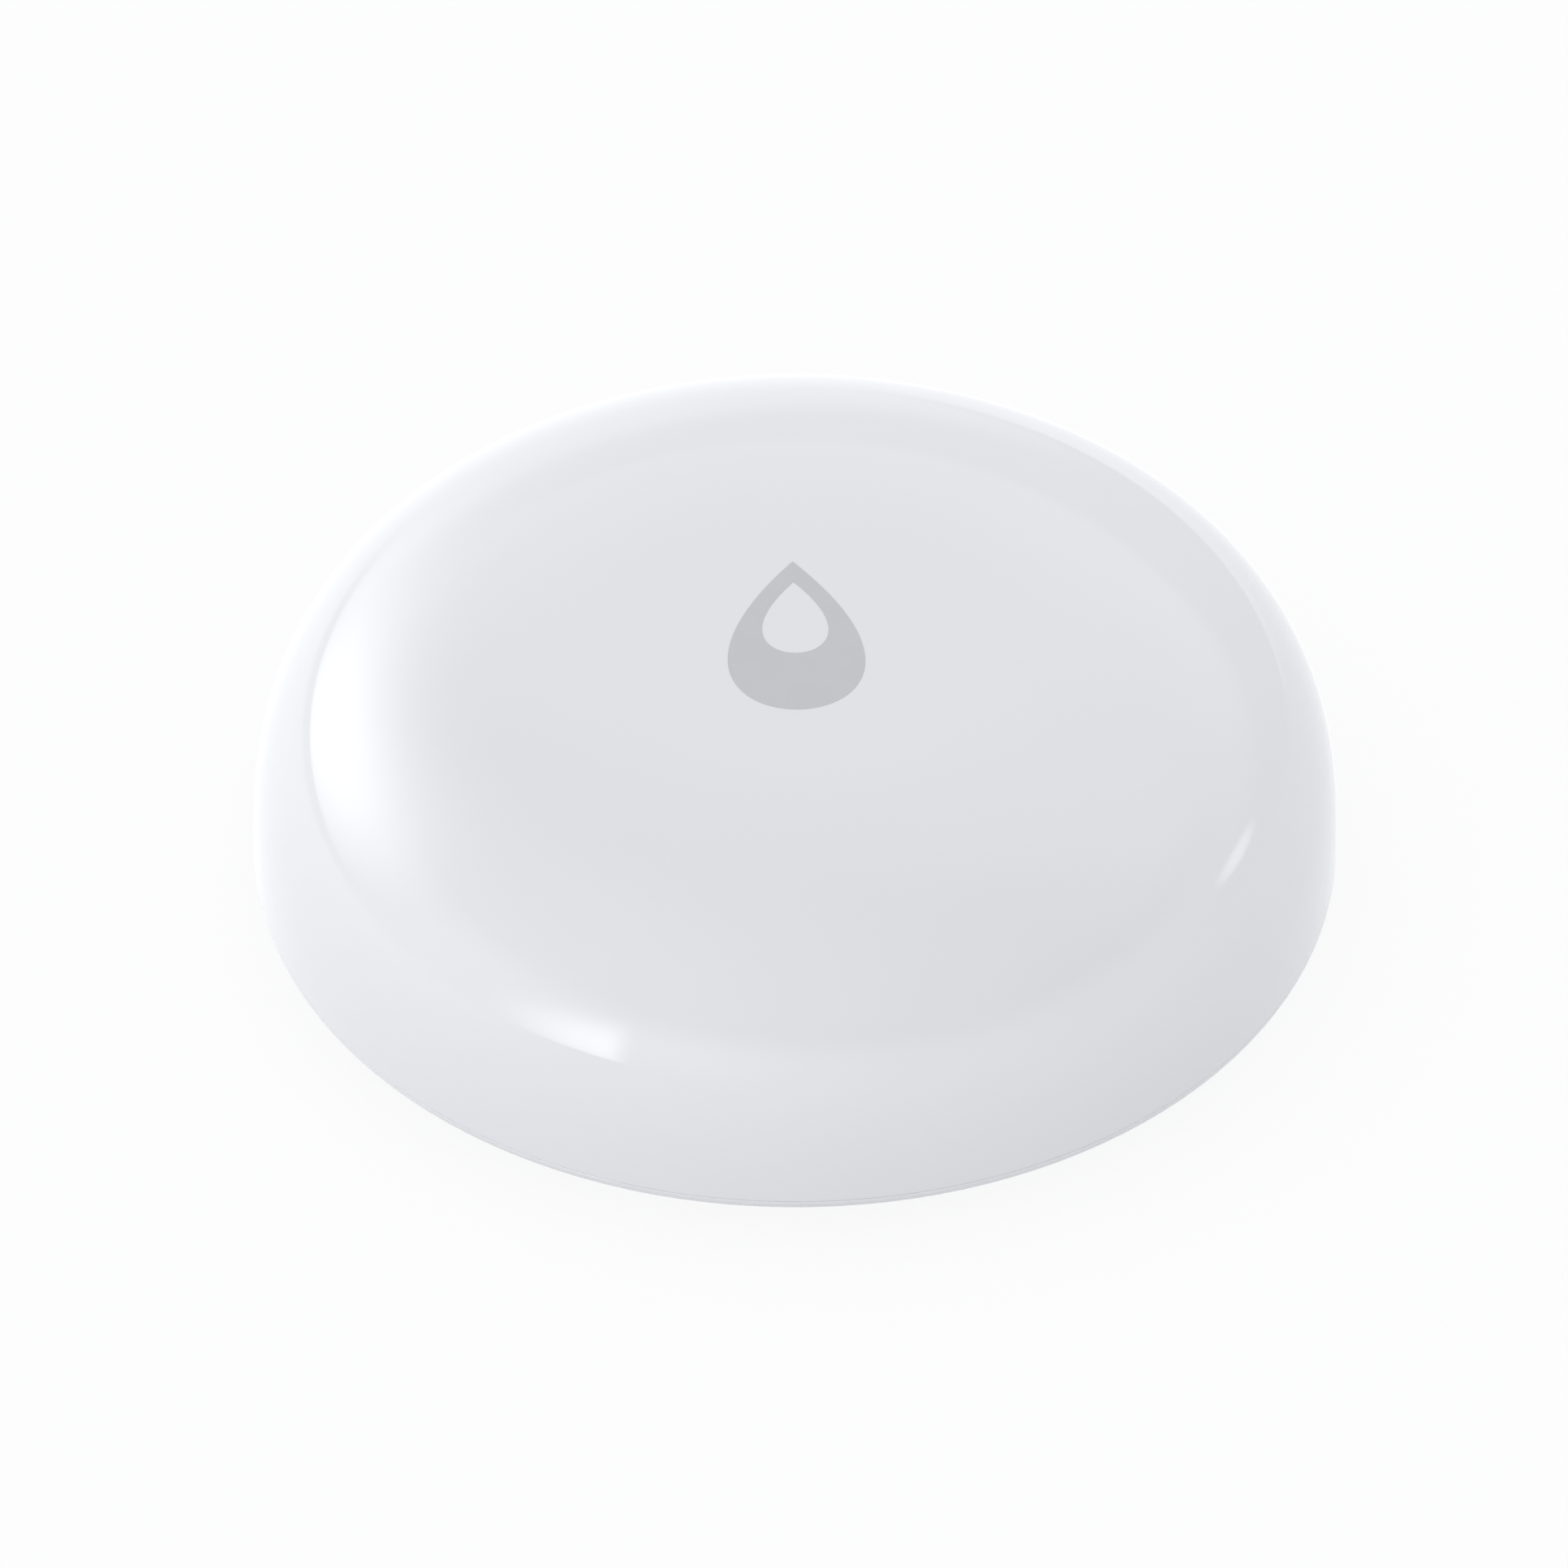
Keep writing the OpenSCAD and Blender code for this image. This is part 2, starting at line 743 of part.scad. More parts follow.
module board_screws() {
    head_top_z = board_top_z + screw_head_t;
    recess_z = head_top_z - screw_recess_depth;
    color("silver")
        at_board_screws()
            difference() {
                union() {
                    disc(screw_head_d / 2, board_top_z, head_top_z);
                    disc(screw_d / 2, board_top_z - screw_l, board_top_z + screw_head_t / 2);
                }
                for (turn = [0, 90])
                    rotate([0, 0, turn])
                        block(screw_recess_l, screw_recess_w, recess_z, head_top_z + over);
            }
}

module on_board(spot) {
    translate([spot[0], spot[1], 0])
        children();
}

module radio_chip() {
    color("black")
        on_board(chip_spot)
            difference() {
                block(chip_w, chip_w, board_top_z, board_top_z + chip_t);
                translate([chip_dimple_d - chip_w / 2, chip_w / 2 - chip_dimple_d, 0])
                    disc(chip_dimple_d / 2, board_top_z + chip_t - chip_dimple_depth, board_top_z + chip_t + over);
            }
}

module crystal() {
    color("lightgray")
        on_board(crystal_spot) {
            block(crystal_l, crystal_w, board_top_z, board_top_z + crystal_base_t);
            block(crystal_l - 2 * crystal_step, crystal_w - 2 * crystal_step, board_top_z, board_top_z + crystal_t);
        }
}

module chip_antenna() {
    color("ivory")
        on_board(antenna_spot)
            block(antenna_l, antenna_w, board_top_z, board_top_z + antenna_t);
}

module status_led() {
    color("lightyellow")
        on_board(led_spot) {
            block(led_l, led_w, board_top_z, board_top_z + led_base_t);
            block(led_lens_l, led_w, board_top_z, board_top_z + led_t);
        }
}

module bulk_capacitor() {
    color("darkorange")
        on_board(bulk_spot)
            block(bulk_l, bulk_w, board_top_z, board_top_z + bulk_t);
}

module capacitors() {
    color("tan")
        for (spot = capacitor_spots)
            on_board(spot)
                block(chip_part_l, chip_part_w, board_top_z, board_top_z + capacitor_t);
}

module resistors() {
    color("black")
        for (spot = resistor_spots)
            on_board(spot)
                block(chip_part_l, chip_part_w, board_top_z, board_top_z + resistor_t);
}

module switch_housing() {
    color("black")
        difference() {
            block(switch_w, switch_w, board_top_z, switch_top_z);
            disc(switch_bore_d / 2, board_top_z + switch_floor, switch_top_z + over);
        }
}

// Gull-wing lead from the housing's side down to the board
module switch_terminal() {
    high = board_top_z + terminal_h + terminal_t;
    rotate([90, 0, 0])
        linear_extrude(height = terminal_w, center = true)
            polygon([
                [0, high],
                [terminal_bend, high],
                [terminal_bend, board_top_z + terminal_t],
                [terminal_reach, board_top_z + terminal_t],
                [terminal_reach, board_top_z],
                [terminal_bend - terminal_t, board_top_z],
                [terminal_bend - terminal_t, high - terminal_t],
                [0, high - terminal_t],
            ]);
}

module switch_terminals() {
    color("silver")
        for (side = [0, 180])
            for (across = [-1, 1])
                rotate([0, 0, side])
                    translate([switch_w / 2, across * (switch_w / 2 - terminal_w), 0])
                        switch_terminal();
}

module snap_disc() {
    color("silver")
        translate([0, 0, disc_z + disc_rise - disc_sphere_r])
            rotate_extrude()
                intersection() {
                    difference() {
                        circle(r = disc_sphere_r);
                        circle(r = disc_sphere_r - disc_t);
                    }
                    translate([0, disc_sphere_r - disc_rise])
                        square([disc_r, disc_rise + over]);
                }
}

module switch_plunger() {
    color("white") {
        disc(switch_bore_d / 2 - stem_gap, plunger_z, switch_top_z - stem_play);
        disc(stem_d / 2, plunger_z, stem_top_z);
    }
}

module switch_frame() {
    color("lightsteelblue")
        difference() {
            union() {
                block(switch_w + 2 * frame_t, frame_tab_w, switch_top_z - frame_tab_l, switch_top_z + frame_t);
                block(switch_w, switch_w, switch_top_z, switch_top_z + frame_t);
            }
            block(switch_w, switch_w, switch_top_z - frame_tab_l - over, switch_top_z);
            disc(stem_d / 2 + stem_gap, switch_top_z - over, switch_top_z + frame_t + over);
        }
}

module positive_contact() {
    inner = cell_r + contact_fit;
    color("silver")
        rotate([0, 0, -90])
            rotate([90, 0, 0])
                linear_extrude(height = contact_w, center = true)
                    polygon([
                        [inner, board_z],
                        [inner + contact_pad, board_z],
                        [inner + contact_pad, board_z - contact_t],
                        [inner + contact_t, board_z - contact_t],
                        [inner + contact_t, cell_z + contact_low],
                        [inner, cell_z + contact_low],
                    ]);
}

module negative_contact() {
    color("silver")
        board_leaf(cell_top_z);
}

// Heights inside the cell are measured from its flat bottom
module in_cell() {
    translate([0, 0, cell_z])
        rotate_extrude()
            children();
}

module cell_can() {
    lip_r = cap_r + 2 * cell_wall;
    lip_z = cell_t - cell_wall;
    shoulder_z = lip_z - cell_wall;
    color("silver")
        in_cell()
            polygon([
                [0, 0],
                [cell_r - cell_wall, 0],
                [cell_r, cell_wall],
                [cell_r, shoulder_z],
                [lip_r, lip_z],
                [lip_r, lip_z - cell_wall],
                [cell_r - cell_wall, shoulder_z - cell_wall],
                [cell_r - cell_wall, cell_wall],
                [0, cell_wall],
            ]);
}

module cell_gasket() {
    inner = cap_r + cell_fit;
    outer = cell_r - cell_wall - cell_fit;
    lip_r = cap_r + 2 * cell_wall - cell_fit;
    shoulder_z = cell_t - 3 * cell_wall - cell_fit;
    color("black")
        in_cell()
            polygon([
                [inner, cell_wall + cell_fit],
                [outer, cell_wall + cell_fit],
                [outer, shoulder_z],
                [lip_r, shoulder_z],
                [lip_r, cell_t - cell_wall],
                [inner, cell_t - cell_wall],
            ]);
}

module cell_cap() {
    color("silver")
        in_cell()
            polygon([
                [0, cell_t],
                [cap_r - cell_wall, cell_t],
                [cap_r, cell_t - cell_wall],
                [cap_r, 2 * cell_wall],
                [cap_r - cell_wall, 2 * cell_wall],
                [cap_r - cell_wall, cell_t - cell_wall],
                [0, cell_t - cell_wall],
            ]);
}

module cell_core() {
    color("dimgray")
        in_cell()
            translate([0, cell_wall + cell_fit])
                square([cap_r - cell_wall - cell_fit, cell_t - 2 * cell_wall - 2 * cell_fit]);
}

top_shell();
drop_mark();
base_shell();
shell_seal();
battery_cover();
cover_seal();
probe_screws();
probe_seals();
probe_inserts();
probe_contacts();
circuit_board();
board_screws();
radio_chip();
crystal();
chip_antenna();
status_led();
bulk_capacitor();
capacitors();
resistors();
switch_housing();
switch_terminals();
snap_disc();
switch_plunger();
switch_frame();
positive_contact();
negative_contact();
cell_can();
cell_core();
cell_gasket();
cell_cap();
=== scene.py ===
"""Water leak sensor: the looks of a round floor puck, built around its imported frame.

Each sub-assembly is a class that builds its meshes and dresses them. Lengths are in metres, angles
in degrees, and places come from the frame: +Z up, the floor at zero, the tip of the drop mark
towards +Y.
"""

import logging
import math
from dataclasses import dataclass
from enum import Enum

import bmesh
import bpy
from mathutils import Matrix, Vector


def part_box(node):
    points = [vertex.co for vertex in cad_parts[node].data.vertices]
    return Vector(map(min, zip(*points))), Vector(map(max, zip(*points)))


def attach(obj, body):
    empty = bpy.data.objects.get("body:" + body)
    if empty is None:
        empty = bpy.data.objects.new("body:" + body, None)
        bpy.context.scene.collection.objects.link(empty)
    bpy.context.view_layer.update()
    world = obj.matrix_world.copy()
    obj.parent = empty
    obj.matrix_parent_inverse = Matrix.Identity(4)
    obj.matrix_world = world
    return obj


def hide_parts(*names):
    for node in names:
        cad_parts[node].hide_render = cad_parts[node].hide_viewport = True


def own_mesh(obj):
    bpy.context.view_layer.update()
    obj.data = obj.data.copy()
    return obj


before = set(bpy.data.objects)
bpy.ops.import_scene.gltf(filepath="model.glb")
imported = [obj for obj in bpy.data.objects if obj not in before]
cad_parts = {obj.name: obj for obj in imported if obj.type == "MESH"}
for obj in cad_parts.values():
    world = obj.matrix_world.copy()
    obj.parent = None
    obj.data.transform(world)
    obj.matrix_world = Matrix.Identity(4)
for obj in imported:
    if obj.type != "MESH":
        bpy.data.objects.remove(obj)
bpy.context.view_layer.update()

LOG = logging.getLogger("leak_sensor")
MM = 0.001
RIGHT_ANGLE = 90.0
# Corners that lie closer are one corner, and places in metres are told apart to these decimals
MERGE = 0.001 * MM
PLACES = 6
# Edges that turn by more degrees are sharp, and faces that turn by fewer are one face
CREASE = 35.0
FLAT = 0.5
# Steps across a rounded edge
EDGE_STEPS = 2
# Sockets of a Mix node that mixes colours
MIX_FACTOR, MIX_FIRST, MIX_SECOND, MIX_RESULT = 0, 6, 7, 2

Piece = bpy.types.Object
Mesh = bpy.types.Mesh
Material = bpy.types.Material
Tree = bpy.types.NodeTree
Node = bpy.types.Node
Socket = bpy.types.NodeSocket
Colour = tuple[float, float, float]


class Body(Enum):
    """The bodies of the frame that pieces ride on."""

    CASE = "case"
    COVER = "cover"
    PLUNGER = "plunger"


class SocketKind(Enum):
    """The kinds of socket that the node groups use."""

    FLOAT = "NodeSocketFloat"
    INTEGER = "NodeSocketInt"
    VECTOR = "NodeSocketVector"
    COLOUR = "NodeSocketColor"
    GEOMETRY = "NodeSocketGeometry"
    MATERIAL = "NodeSocketMaterial"


class TreeKind(Enum):
    """The two kinds of node group."""

    SHADER = "ShaderNodeTree"
    GEOMETRY = "GeometryNodeTree"


class NodeSheet:
    """Fills one node tree, with short calls for what formulas need."""

    def __init__(self, tree: Tree) -> None:
        """Keeps the tree that is filled."""
        self.tree = tree

    @classmethod
    def blank(cls, owner: Material | bpy.types.World) -> "NodeSheet":
        """Empties the node tree of a material or a world.

        Args:
            owner: The material or the world.

        Returns:
            The sheet of its tree.
        """
        owner.use_nodes = True
        owner.node_tree.nodes.clear()
        return cls(owner.node_tree)

    def feed(self, socket: Socket, value: object) -> None:
        """Links a socket to its source, or sets its constant.

        Args:
            socket: The socket.
            value: Another socket, or a constant.
        """
        if isinstance(value, Socket):
            self.tree.links.new(value, socket)
        else:
            socket.default_value = value

    def node(self, kind: str, feeds: dict | None = None, **settings: object) -> Node:
        """Adds one node.

        Args:
            kind: The node's type name.
            feeds: What goes into its inputs, by name or number.
            settings: Its properties.

        Returns:
            The new node.
        """
        made = self.tree.nodes.new(kind)
        for name, value in settings.items():
            setattr(made, name, value)
        for key, value in (feeds or {}).items():
            self.feed(made.inputs[key], value)
        return made

    def place(self, tree: Tree, feeds: dict) -> Node:
        """Places a node group with its own values."""
        return self.node(tree.bl_idname.replace("Tree", "Group"), feeds, node_tree=tree)

    def math(self, operation: str, *values: object) -> Socket:
        """Adds a Math node and returns its result."""
        return self.node("ShaderNodeMath", dict(enumerate(values)), operation=operation).outputs[0]

    def hypotenuse(self, first: Socket, second: Socket) -> Socket:
        """Adds the length of two sides at a right angle and returns it."""
        squares = [self.math("POWER", side, 2.0) for side in (first, second)]
        return self.math("SQRT", self.math("ADD", *squares))

    def dot(self, first: object, second: object) -> Socket:
        """Adds a dot product and returns its value."""
        made = self.node("ShaderNodeVectorMath", {0: first, 1: second}, operation="DOT_PRODUCT")
        return made.outputs["Value"]

    def vector(self, x: object = 0.0, y: object = 0.0, z: object = 0.0) -> Socket:
        """Adds a vector of three values and returns it."""
        return self.node("ShaderNodeCombineXYZ", {0: x, 1: y, 2: z}).outputs[0]

    def welded(self, shape: Socket) -> Socket:
        """Joins the doubled corners of a geometry and returns it."""
        feeds = {"Geometry": shape, "Distance": MERGE}
        return self.node("GeometryNodeMergeByDistance", feeds).outputs[0]

    def spot(self) -> Socket:
        """Adds the place on the piece, in its object's coordinates, and returns it."""
        return self.node("ShaderNodeTexCoord").outputs["Object"]

    def noise(self, where: Socket, scale: Socket, detail: float) -> Socket:
        """Adds a noise pattern and returns its value."""
        feeds = {"Vector": where, "Scale": scale, "Detail": detail}
        return self.node("ShaderNodeTexNoise", feeds).outputs[0]

    def bump(self, height: Socket, distance: float) -> Socket:
        """Adds a relief and returns its normal."""
        feeds = {"Height": height, "Strength": 1.0, "Distance": distance}
        return self.node("ShaderNodeBump", feeds).outputs[0]

    def ramp(self, value: Socket, low: object, high: object,
             to_low: object = 0.0, to_high: object = 1.0) -> Socket:
        """Adds a smooth step from one value to another.

        Args:
            value: What is mapped.
            low: The value that maps to to_low.
            high: The value that maps to to_high.
            to_low: The result at the low end.
            to_high: The result at the high end.

        Returns:
            The mapped value.
        """
        feeds = {"Value": value, "From Min": low, "From Max": high,
                 "To Min": to_low, "To Max": to_high}
        return self.node("ShaderNodeMapRange", feeds, interpolation_type="SMOOTHSTEP").outputs[0]

    def blend(self, factor: object, first: object, second: object) -> Socket:
        """Adds a mix of two colours.

        Args:
            factor: The share of the second colour.
            first: The first colour.
            second: The second colour.

        Returns:
            The mixed colour.
        """
        made = self.node("ShaderNodeMix", data_type="RGBA")
        for key, value in ((MIX_FACTOR, factor), (MIX_FIRST, first), (MIX_SECOND, second)):
            self.feed(made.inputs[key], value)
        return made.outputs[MIX_RESULT]


@dataclass(frozen=True)
class Port:
    """One named socket of a node group, with its value where nothing is linked."""

    name: str
    kind: SocketKind
    default: object = None


def ports(kind: SocketKind, *names: str) -> list[Port]:
    """Named sockets of one kind."""
    return [Port(name, kind) for name in names]


class NodeGroup:
    """A node group with named inputs and outputs, ready to be filled."""

    def __init__(self, name: str, kind: TreeKind, inputs: list[Port],
                 outputs: list[Port]) -> None:
        """Makes the group's tree and its sockets.

        Args:
            name: The group's name.
            kind: A shader or a geometry group.
            inputs: Its named inputs.
            outputs: Its named outputs.
        """
        self.tree = bpy.data.node_groups.new(name, kind.value)
        for direction, sockets in (("INPUT", inputs), ("OUTPUT", outputs)):
            for port in sockets:
                made = self.tree.interface.new_socket(
                    port.name, in_out=direction, socket_type=port.kind.value)
                if port.default is not None:
                    made.default_value = port.default
        self.sheet = NodeSheet(self.tree)
        self.given = self.sheet.node("NodeGroupInput").outputs
        self.result = self.sheet.node("NodeGroupOutput").inputs

    def end(self, **results: Socket) -> Tree:
        """Links the results to the outputs of the same name.

        Args:
            results: What each output gets.

        Returns:
            The group's tree.
        """
        for name, value in results.items():
            self.sheet.feed(self.result[name], value)
        return self.tree

    def end_dressed(self, shape: Socket) -> Tree:
        """Ends a group that makes a piece: its instances become real and wear its material.

        Args:
            shape: The piece's geometry.

        Returns:
            The group's tree.
        """
        real = self.sheet.node("GeometryNodeRealizeInstances", {"Geometry": shape})
        dressed = self.sheet.node("GeometryNodeSetMaterial", {
            "Geometry": real.outputs[0], "Material": self.given["Material"]})
        return self.end(Geometry=dressed.outputs[0])


def link_object(name: str, mesh: Mesh) -> Piece:
    """Adds a mesh to the scene.

    Args:
        name: The object's name.
        mesh: Its mesh.

    Returns:
        The object, at the origin.
    """
    made = bpy.data.objects.new(name, mesh)
    bpy.context.scene.collection.objects.link(made)
    return made


def plain_mesh(piece: Piece) -> Piece:
    """Turns a piece with modifiers into a plain mesh.

    Args:
        piece: The object whose modifiers are applied.

    Returns:
        The same object, with no modifiers left.
    """
    bpy.context.view_layer.update()
    seed = piece.data
    graph = bpy.context.evaluated_depsgraph_get()
    made = bpy.data.meshes.new_from_object(piece.evaluated_get(graph))
    piece.modifiers.clear()
    piece.data = made
    bpy.data.meshes.remove(seed)
    made.name = piece.name
    return piece


def grow(name: str, tree: Tree, values: dict, seeds: list[Vector] | None = None) -> Piece:
    """Grows a piece from a geometry tree.

    Args:
        name: The piece's name.
        tree: The geometry tree.
        values: The tree's inputs, by name.
        seeds: Points that the tree puts its instances on.

    Returns:
        The piece, as a plain mesh.
    """
    mesh = bpy.data.meshes.new(name)
    mesh.from_pydata([tuple(p) for p in seeds or []], [], [])
    piece = link_object(name, mesh)
    modifier = piece.modifiers.new("Form", "NODES")
    modifier.node_group = tree
    sockets = tree.interface.items_tree
    identifiers = {s.name: s.identifier for s in sockets if s.in_out == "INPUT"}
    for label, value in values.items():
        modifier[identifiers[label]] = value
    return plain_mesh(piece)


def shade(mesh: Mesh) -> None:
    """Shades a mesh smooth, apart from its sharp edges."""
    mesh.shade_smooth()
    mesh.set_sharp_from_angle(angle=math.radians(CREASE))


def merged_shape(node: str) -> bmesh.types.BMesh:
    """Copies a node's faces, with doubled corners joined and faces of no area taken out.

    Args:
        node: The node's name.

    Returns:
        The copy.
    """
    shape = bmesh.new()
    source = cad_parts[node].data
    corners = [shape.verts.new(v.co) for v in source.vertices]
    for polygon in source.polygons:
        shape.faces.new([corners[i] for i in polygon.vertices])
    bmesh.ops.remove_doubles(shape, verts=shape.verts, dist=MERGE)
    bmesh.ops.dissolve_degenerate(shape, dist=MERGE, edges=shape.edges)
    return shape


def solid_boxes(node: str) -> list[tuple[Vector, Vector]]:
    """Finds the box of each separate solid of a node.

    Args:
        node: The node's name.

    Returns:
        The low and high corner of each solid, from left to right and front to back.
    """
    shape = merged_shape(node)
    left = set(shape.verts)
    boxes = []
    while left:
        waiting = [left.pop()]
        points = []
        while waiting:
            corner = waiting.pop()
            points.append(corner.co.copy())
            for edge in corner.link_edges:
                other = edge.other_vert(corner)
                if other in left:
                    left.remove(other)
                    waiting.append(other)
        boxes.append(tuple(Vector([pick(p[i] for p in points) for i in range(3)])
                           for pick in (min, max)))
    shape.free()
    return sorted(boxes, key=lambda box: (round(box[0].x, PLACES), round(box[0].y, PLACES)))


def round_edges(piece: Piece, radius: float) -> Piece:
    """Rounds a piece's sharp edges.

    Args:
        piece: The piece.
        radius: How far the rounding reaches along each face.

    Returns:
        The same piece, as a plain mesh.
    """
    shade(piece.data)
    bevel = piece.modifiers.new("Edges", "BEVEL")
    bevel.width = radius
    bevel.segments = EDGE_STEPS
    bevel.limit_method = "ANGLE"
    bevel.angle_limit = math.radians(CREASE)
    level = piece.modifiers.new("Level faces", "WEIGHTED_NORMAL")
    level.keep_sharp = True
    return plain_mesh(piece)


def rounded_copy(node: str, name: str, radius: float) -> Piece:
    """Copies a node of the frame and rounds its edges.

    Args:
        node: The node's name.
        name: The new piece's name.
        radius: How far the rounding reaches along each face.

    Returns:
        The rounded piece.
    """
    shape = merged_shape(node)
    bmesh.ops.dissolve_limit(shape, angle_limit=math.radians(FLAT), verts=shape.verts,
                             edges=shape.edges)
    mesh = bpy.data.meshes.new(name)
    shape.to_mesh(mesh)
    shape.free()
    return round_edges(link_object(name, mesh), radius)


@dataclass
class SharedEffects:
    """Shader groups that several finishes use, each built once."""

    drift_detail: float = 3.0
    drift_band: tuple[float, float] = (0.35, 0.65)
    drift_share: float = 0.5
    fine_detail: float = 2.0
    gloss_band: tuple[float, float] = (0.25, 0.75)
    line_detail: float = 4.0
    line_band: tuple[float, float] = (0.3, 0.7)
    ring_depth: float = 0.25
    ring_spread: float = 0.7

    def __post_init__(self) -> None:
        """Builds the groups."""
        self.grain = self._grain()
        self.brushed = self._brushed()
        self.rings = self._rings()

    def _grain(self) -> Tree:
        """Moulded surface: a slow drift of colour, a finer one of gloss, and a fine relief.

        Returns:
            The group's tree.
        """
        group = NodeGroup("Moulded grain", TreeKind.SHADER, [
            Port("Colour", SocketKind.COLOUR, (0.8, 0.8, 0.8, 1)),
            Port("Second colour", SocketKind.COLOUR, (0.78, 0.78, 0.78, 1)),
            Port("Roughness low", SocketKind.FLOAT, 0.1),
            Port("Roughness high", SocketKind.FLOAT, 0.2),
            Port("Drift scale", SocketKind.FLOAT, 120.0),
            Port("Grain scale", SocketKind.FLOAT, 4000.0),
        ], [
            Port("Colour", SocketKind.COLOUR),
            Port("Roughness", SocketKind.FLOAT),
            Port("Height", SocketKind.FLOAT),
        ])
        sheet, given = group.sheet, group.given
        where = sheet.spot()
        drift = sheet.noise(where, given["Drift scale"], self.drift_detail)
        fine = sheet.noise(where, given["Grain scale"], self.fine_detail)
        patch = sheet.ramp(drift, *self.drift_band)
        colour = sheet.blend(patch, given["Colour"], given["Second colour"])
        spread = sheet.math("MULTIPLY_ADD", patch, self.drift_share,
                            sheet.math("MULTIPLY", fine, 1.0 - self.drift_share))
        gloss = sheet.ramp(spread, *self.gloss_band,
                           given["Roughness low"], given["Roughness high"])
        return group.end(Colour=colour, Roughness=gloss, Height=fine)

    def _brushed(self) -> Tree:
        """Rolled or brushed sheet: long fine lines along X, as a mask from 0 to 1.

        Returns:
            The group's tree.
        """
        group = NodeGroup("Brushed lines", TreeKind.SHADER, [
            Port("Line scale", SocketKind.FLOAT, 9000.0),
            Port("Stretch", SocketKind.FLOAT, 0.03),
        ], [Port("Lines", SocketKind.FLOAT)])
        sheet, given = group.sheet, group.given
        stretch = sheet.vector(given["Stretch"], 1.0, 1.0)
        long_way = sheet.node("ShaderNodeVectorMath", {0: sheet.spot(), 1: stretch},
                              operation="MULTIPLY").outputs[0]
        noise = sheet.noise(long_way, given["Line scale"], self.line_detail)
        return group.end(Lines=sheet.ramp(noise, *self.line_band))

    def _rings(self) -> Tree:
        """Turned metal: fine rings about axes at plus and minus the axis place on X.

        Returns:
            The group's tree.
        """
        group = NodeGroup("Turning rings", TreeKind.SHADER, [
            Port("Axis place", SocketKind.FLOAT, 0.0),
            Port("Pitch", SocketKind.FLOAT, 0.08 * MM),
        ], [Port("Rings", SocketKind.FLOAT)])
        sheet, given = group.sheet, group.given
        where = sheet.node("ShaderNodeSeparateXYZ", {0: sheet.spot()}).outputs
        across = sheet.math("SUBTRACT", sheet.math("ABSOLUTE", where[0]), given["Axis place"])
        turns = sheet.math("DIVIDE", sheet.hypotenuse(across, where[1]), given["Pitch"])
        wave = sheet.math("SINE", sheet.math("MULTIPLY", turns, math.tau))
        uneven = sheet.node("ShaderNodeTexNoise", {
            "W": turns, "Scale": self.ring_spread, "Detail": self.fine_detail},
            noise_dimensions="1D").outputs[0]
        return group.end(Rings=sheet.math("MULTIPLY_ADD", wave, self.ring_depth, uneven))


def full(colour: Colour) -> tuple[float, float, float, float]:
    """A colour with its alpha."""
    return (*colour, 1.0)


@dataclass(frozen=True)
class Finish:
    """What every finish has: its slot's name, two colours that mix and a range of roughness."""

    name: str
    colour: Colour
    second: Colour
    roughness: tuple[float, float]

    def build(self, effects: SharedEffects) -> Material:
        """Makes the finish's material.

        Args:
            effects: The shared shader groups.

        Returns:
            The material.
        """
        material = bpy.data.materials.new(self.name)
        sheet = NodeSheet.blank(material)
        shader = sheet.node("ShaderNodeBsdfPrincipled")
        sheet.node("ShaderNodeOutputMaterial", {"Surface": shader.outputs[0]})
        for name, value in self.feeds(sheet, effects).items():
            sheet.feed(shader.inputs[name], value)
        return material

    def mixed(self, sheet: NodeSheet, factor: Socket) -> Socket:
        """Adds the mix of the two colours and returns it."""
        return sheet.blend(factor, full(self.colour), full(self.second))

    def feeds(self, sheet: NodeSheet, effects: SharedEffects) -> dict[str, object]:
        """What the shader's inputs are fed, by name. Each kind of finish has its own."""
        raise NotImplementedError


@dataclass(frozen=True)
class MouldedFinish(Finish):
    """Plastic, rubber, ceramic or epoxy: a moulded surface with its own gloss and grain."""

    drift_scale: float = 120.0
    grain_scale: float = 4000.0
    relief: float = 0.0
    index: float = 1.46

    def feeds(self, sheet: NodeSheet, effects: SharedEffects) -> dict[str, object]:
        """Feeds the shader with the grain.

        Args:
            sheet: The sheet of the material's tree.
            effects: The shared shader groups.

        Returns:
            What the shader's inputs are fed, by name.
        """
        grain = sheet.place(effects.grain, {
            "Colour": full(self.colour), "Second colour": full(self.second),
            "Roughness low": self.roughness[0], "Roughness high": self.roughness[1],
            "Drift scale": self.drift_scale, "Grain scale": self.grain_scale}).outputs
        fed = {"Base Color": grain["Colour"], "Roughness": grain["Roughness"], "IOR": self.index}
        if self.relief:
            fed["Normal"] = sheet.bump(grain["Height"], self.relief)
        return fed


@dataclass(frozen=True)
class MetalFinish(Finish):
    """Metal whose marks set its colour, its gloss and its relief."""

    relief: float = 0.002 * MM

    def marks(self, sheet: NodeSheet, effects: SharedEffects) -> Socket:
        """The pattern of the marks. Each kind of metal has its own."""
        raise NotImplementedError

    def feeds(self, sheet: NodeSheet, effects: SharedEffects) -> dict[str, object]:
        """Feeds the shader with the marks.

        Args:
            sheet: The sheet of the material's tree.
            effects: The shared shader groups.

        Returns:
            What the shader's inputs are fed, by name.
        """
        marks = self.marks(sheet, effects)
        return {"Base Color": self.mixed(sheet, marks), "Metallic": 1.0,
                "Roughness": sheet.ramp(marks, 0.0, 1.0, *self.roughness),
                "Normal": sheet.bump(marks, self.relief)}


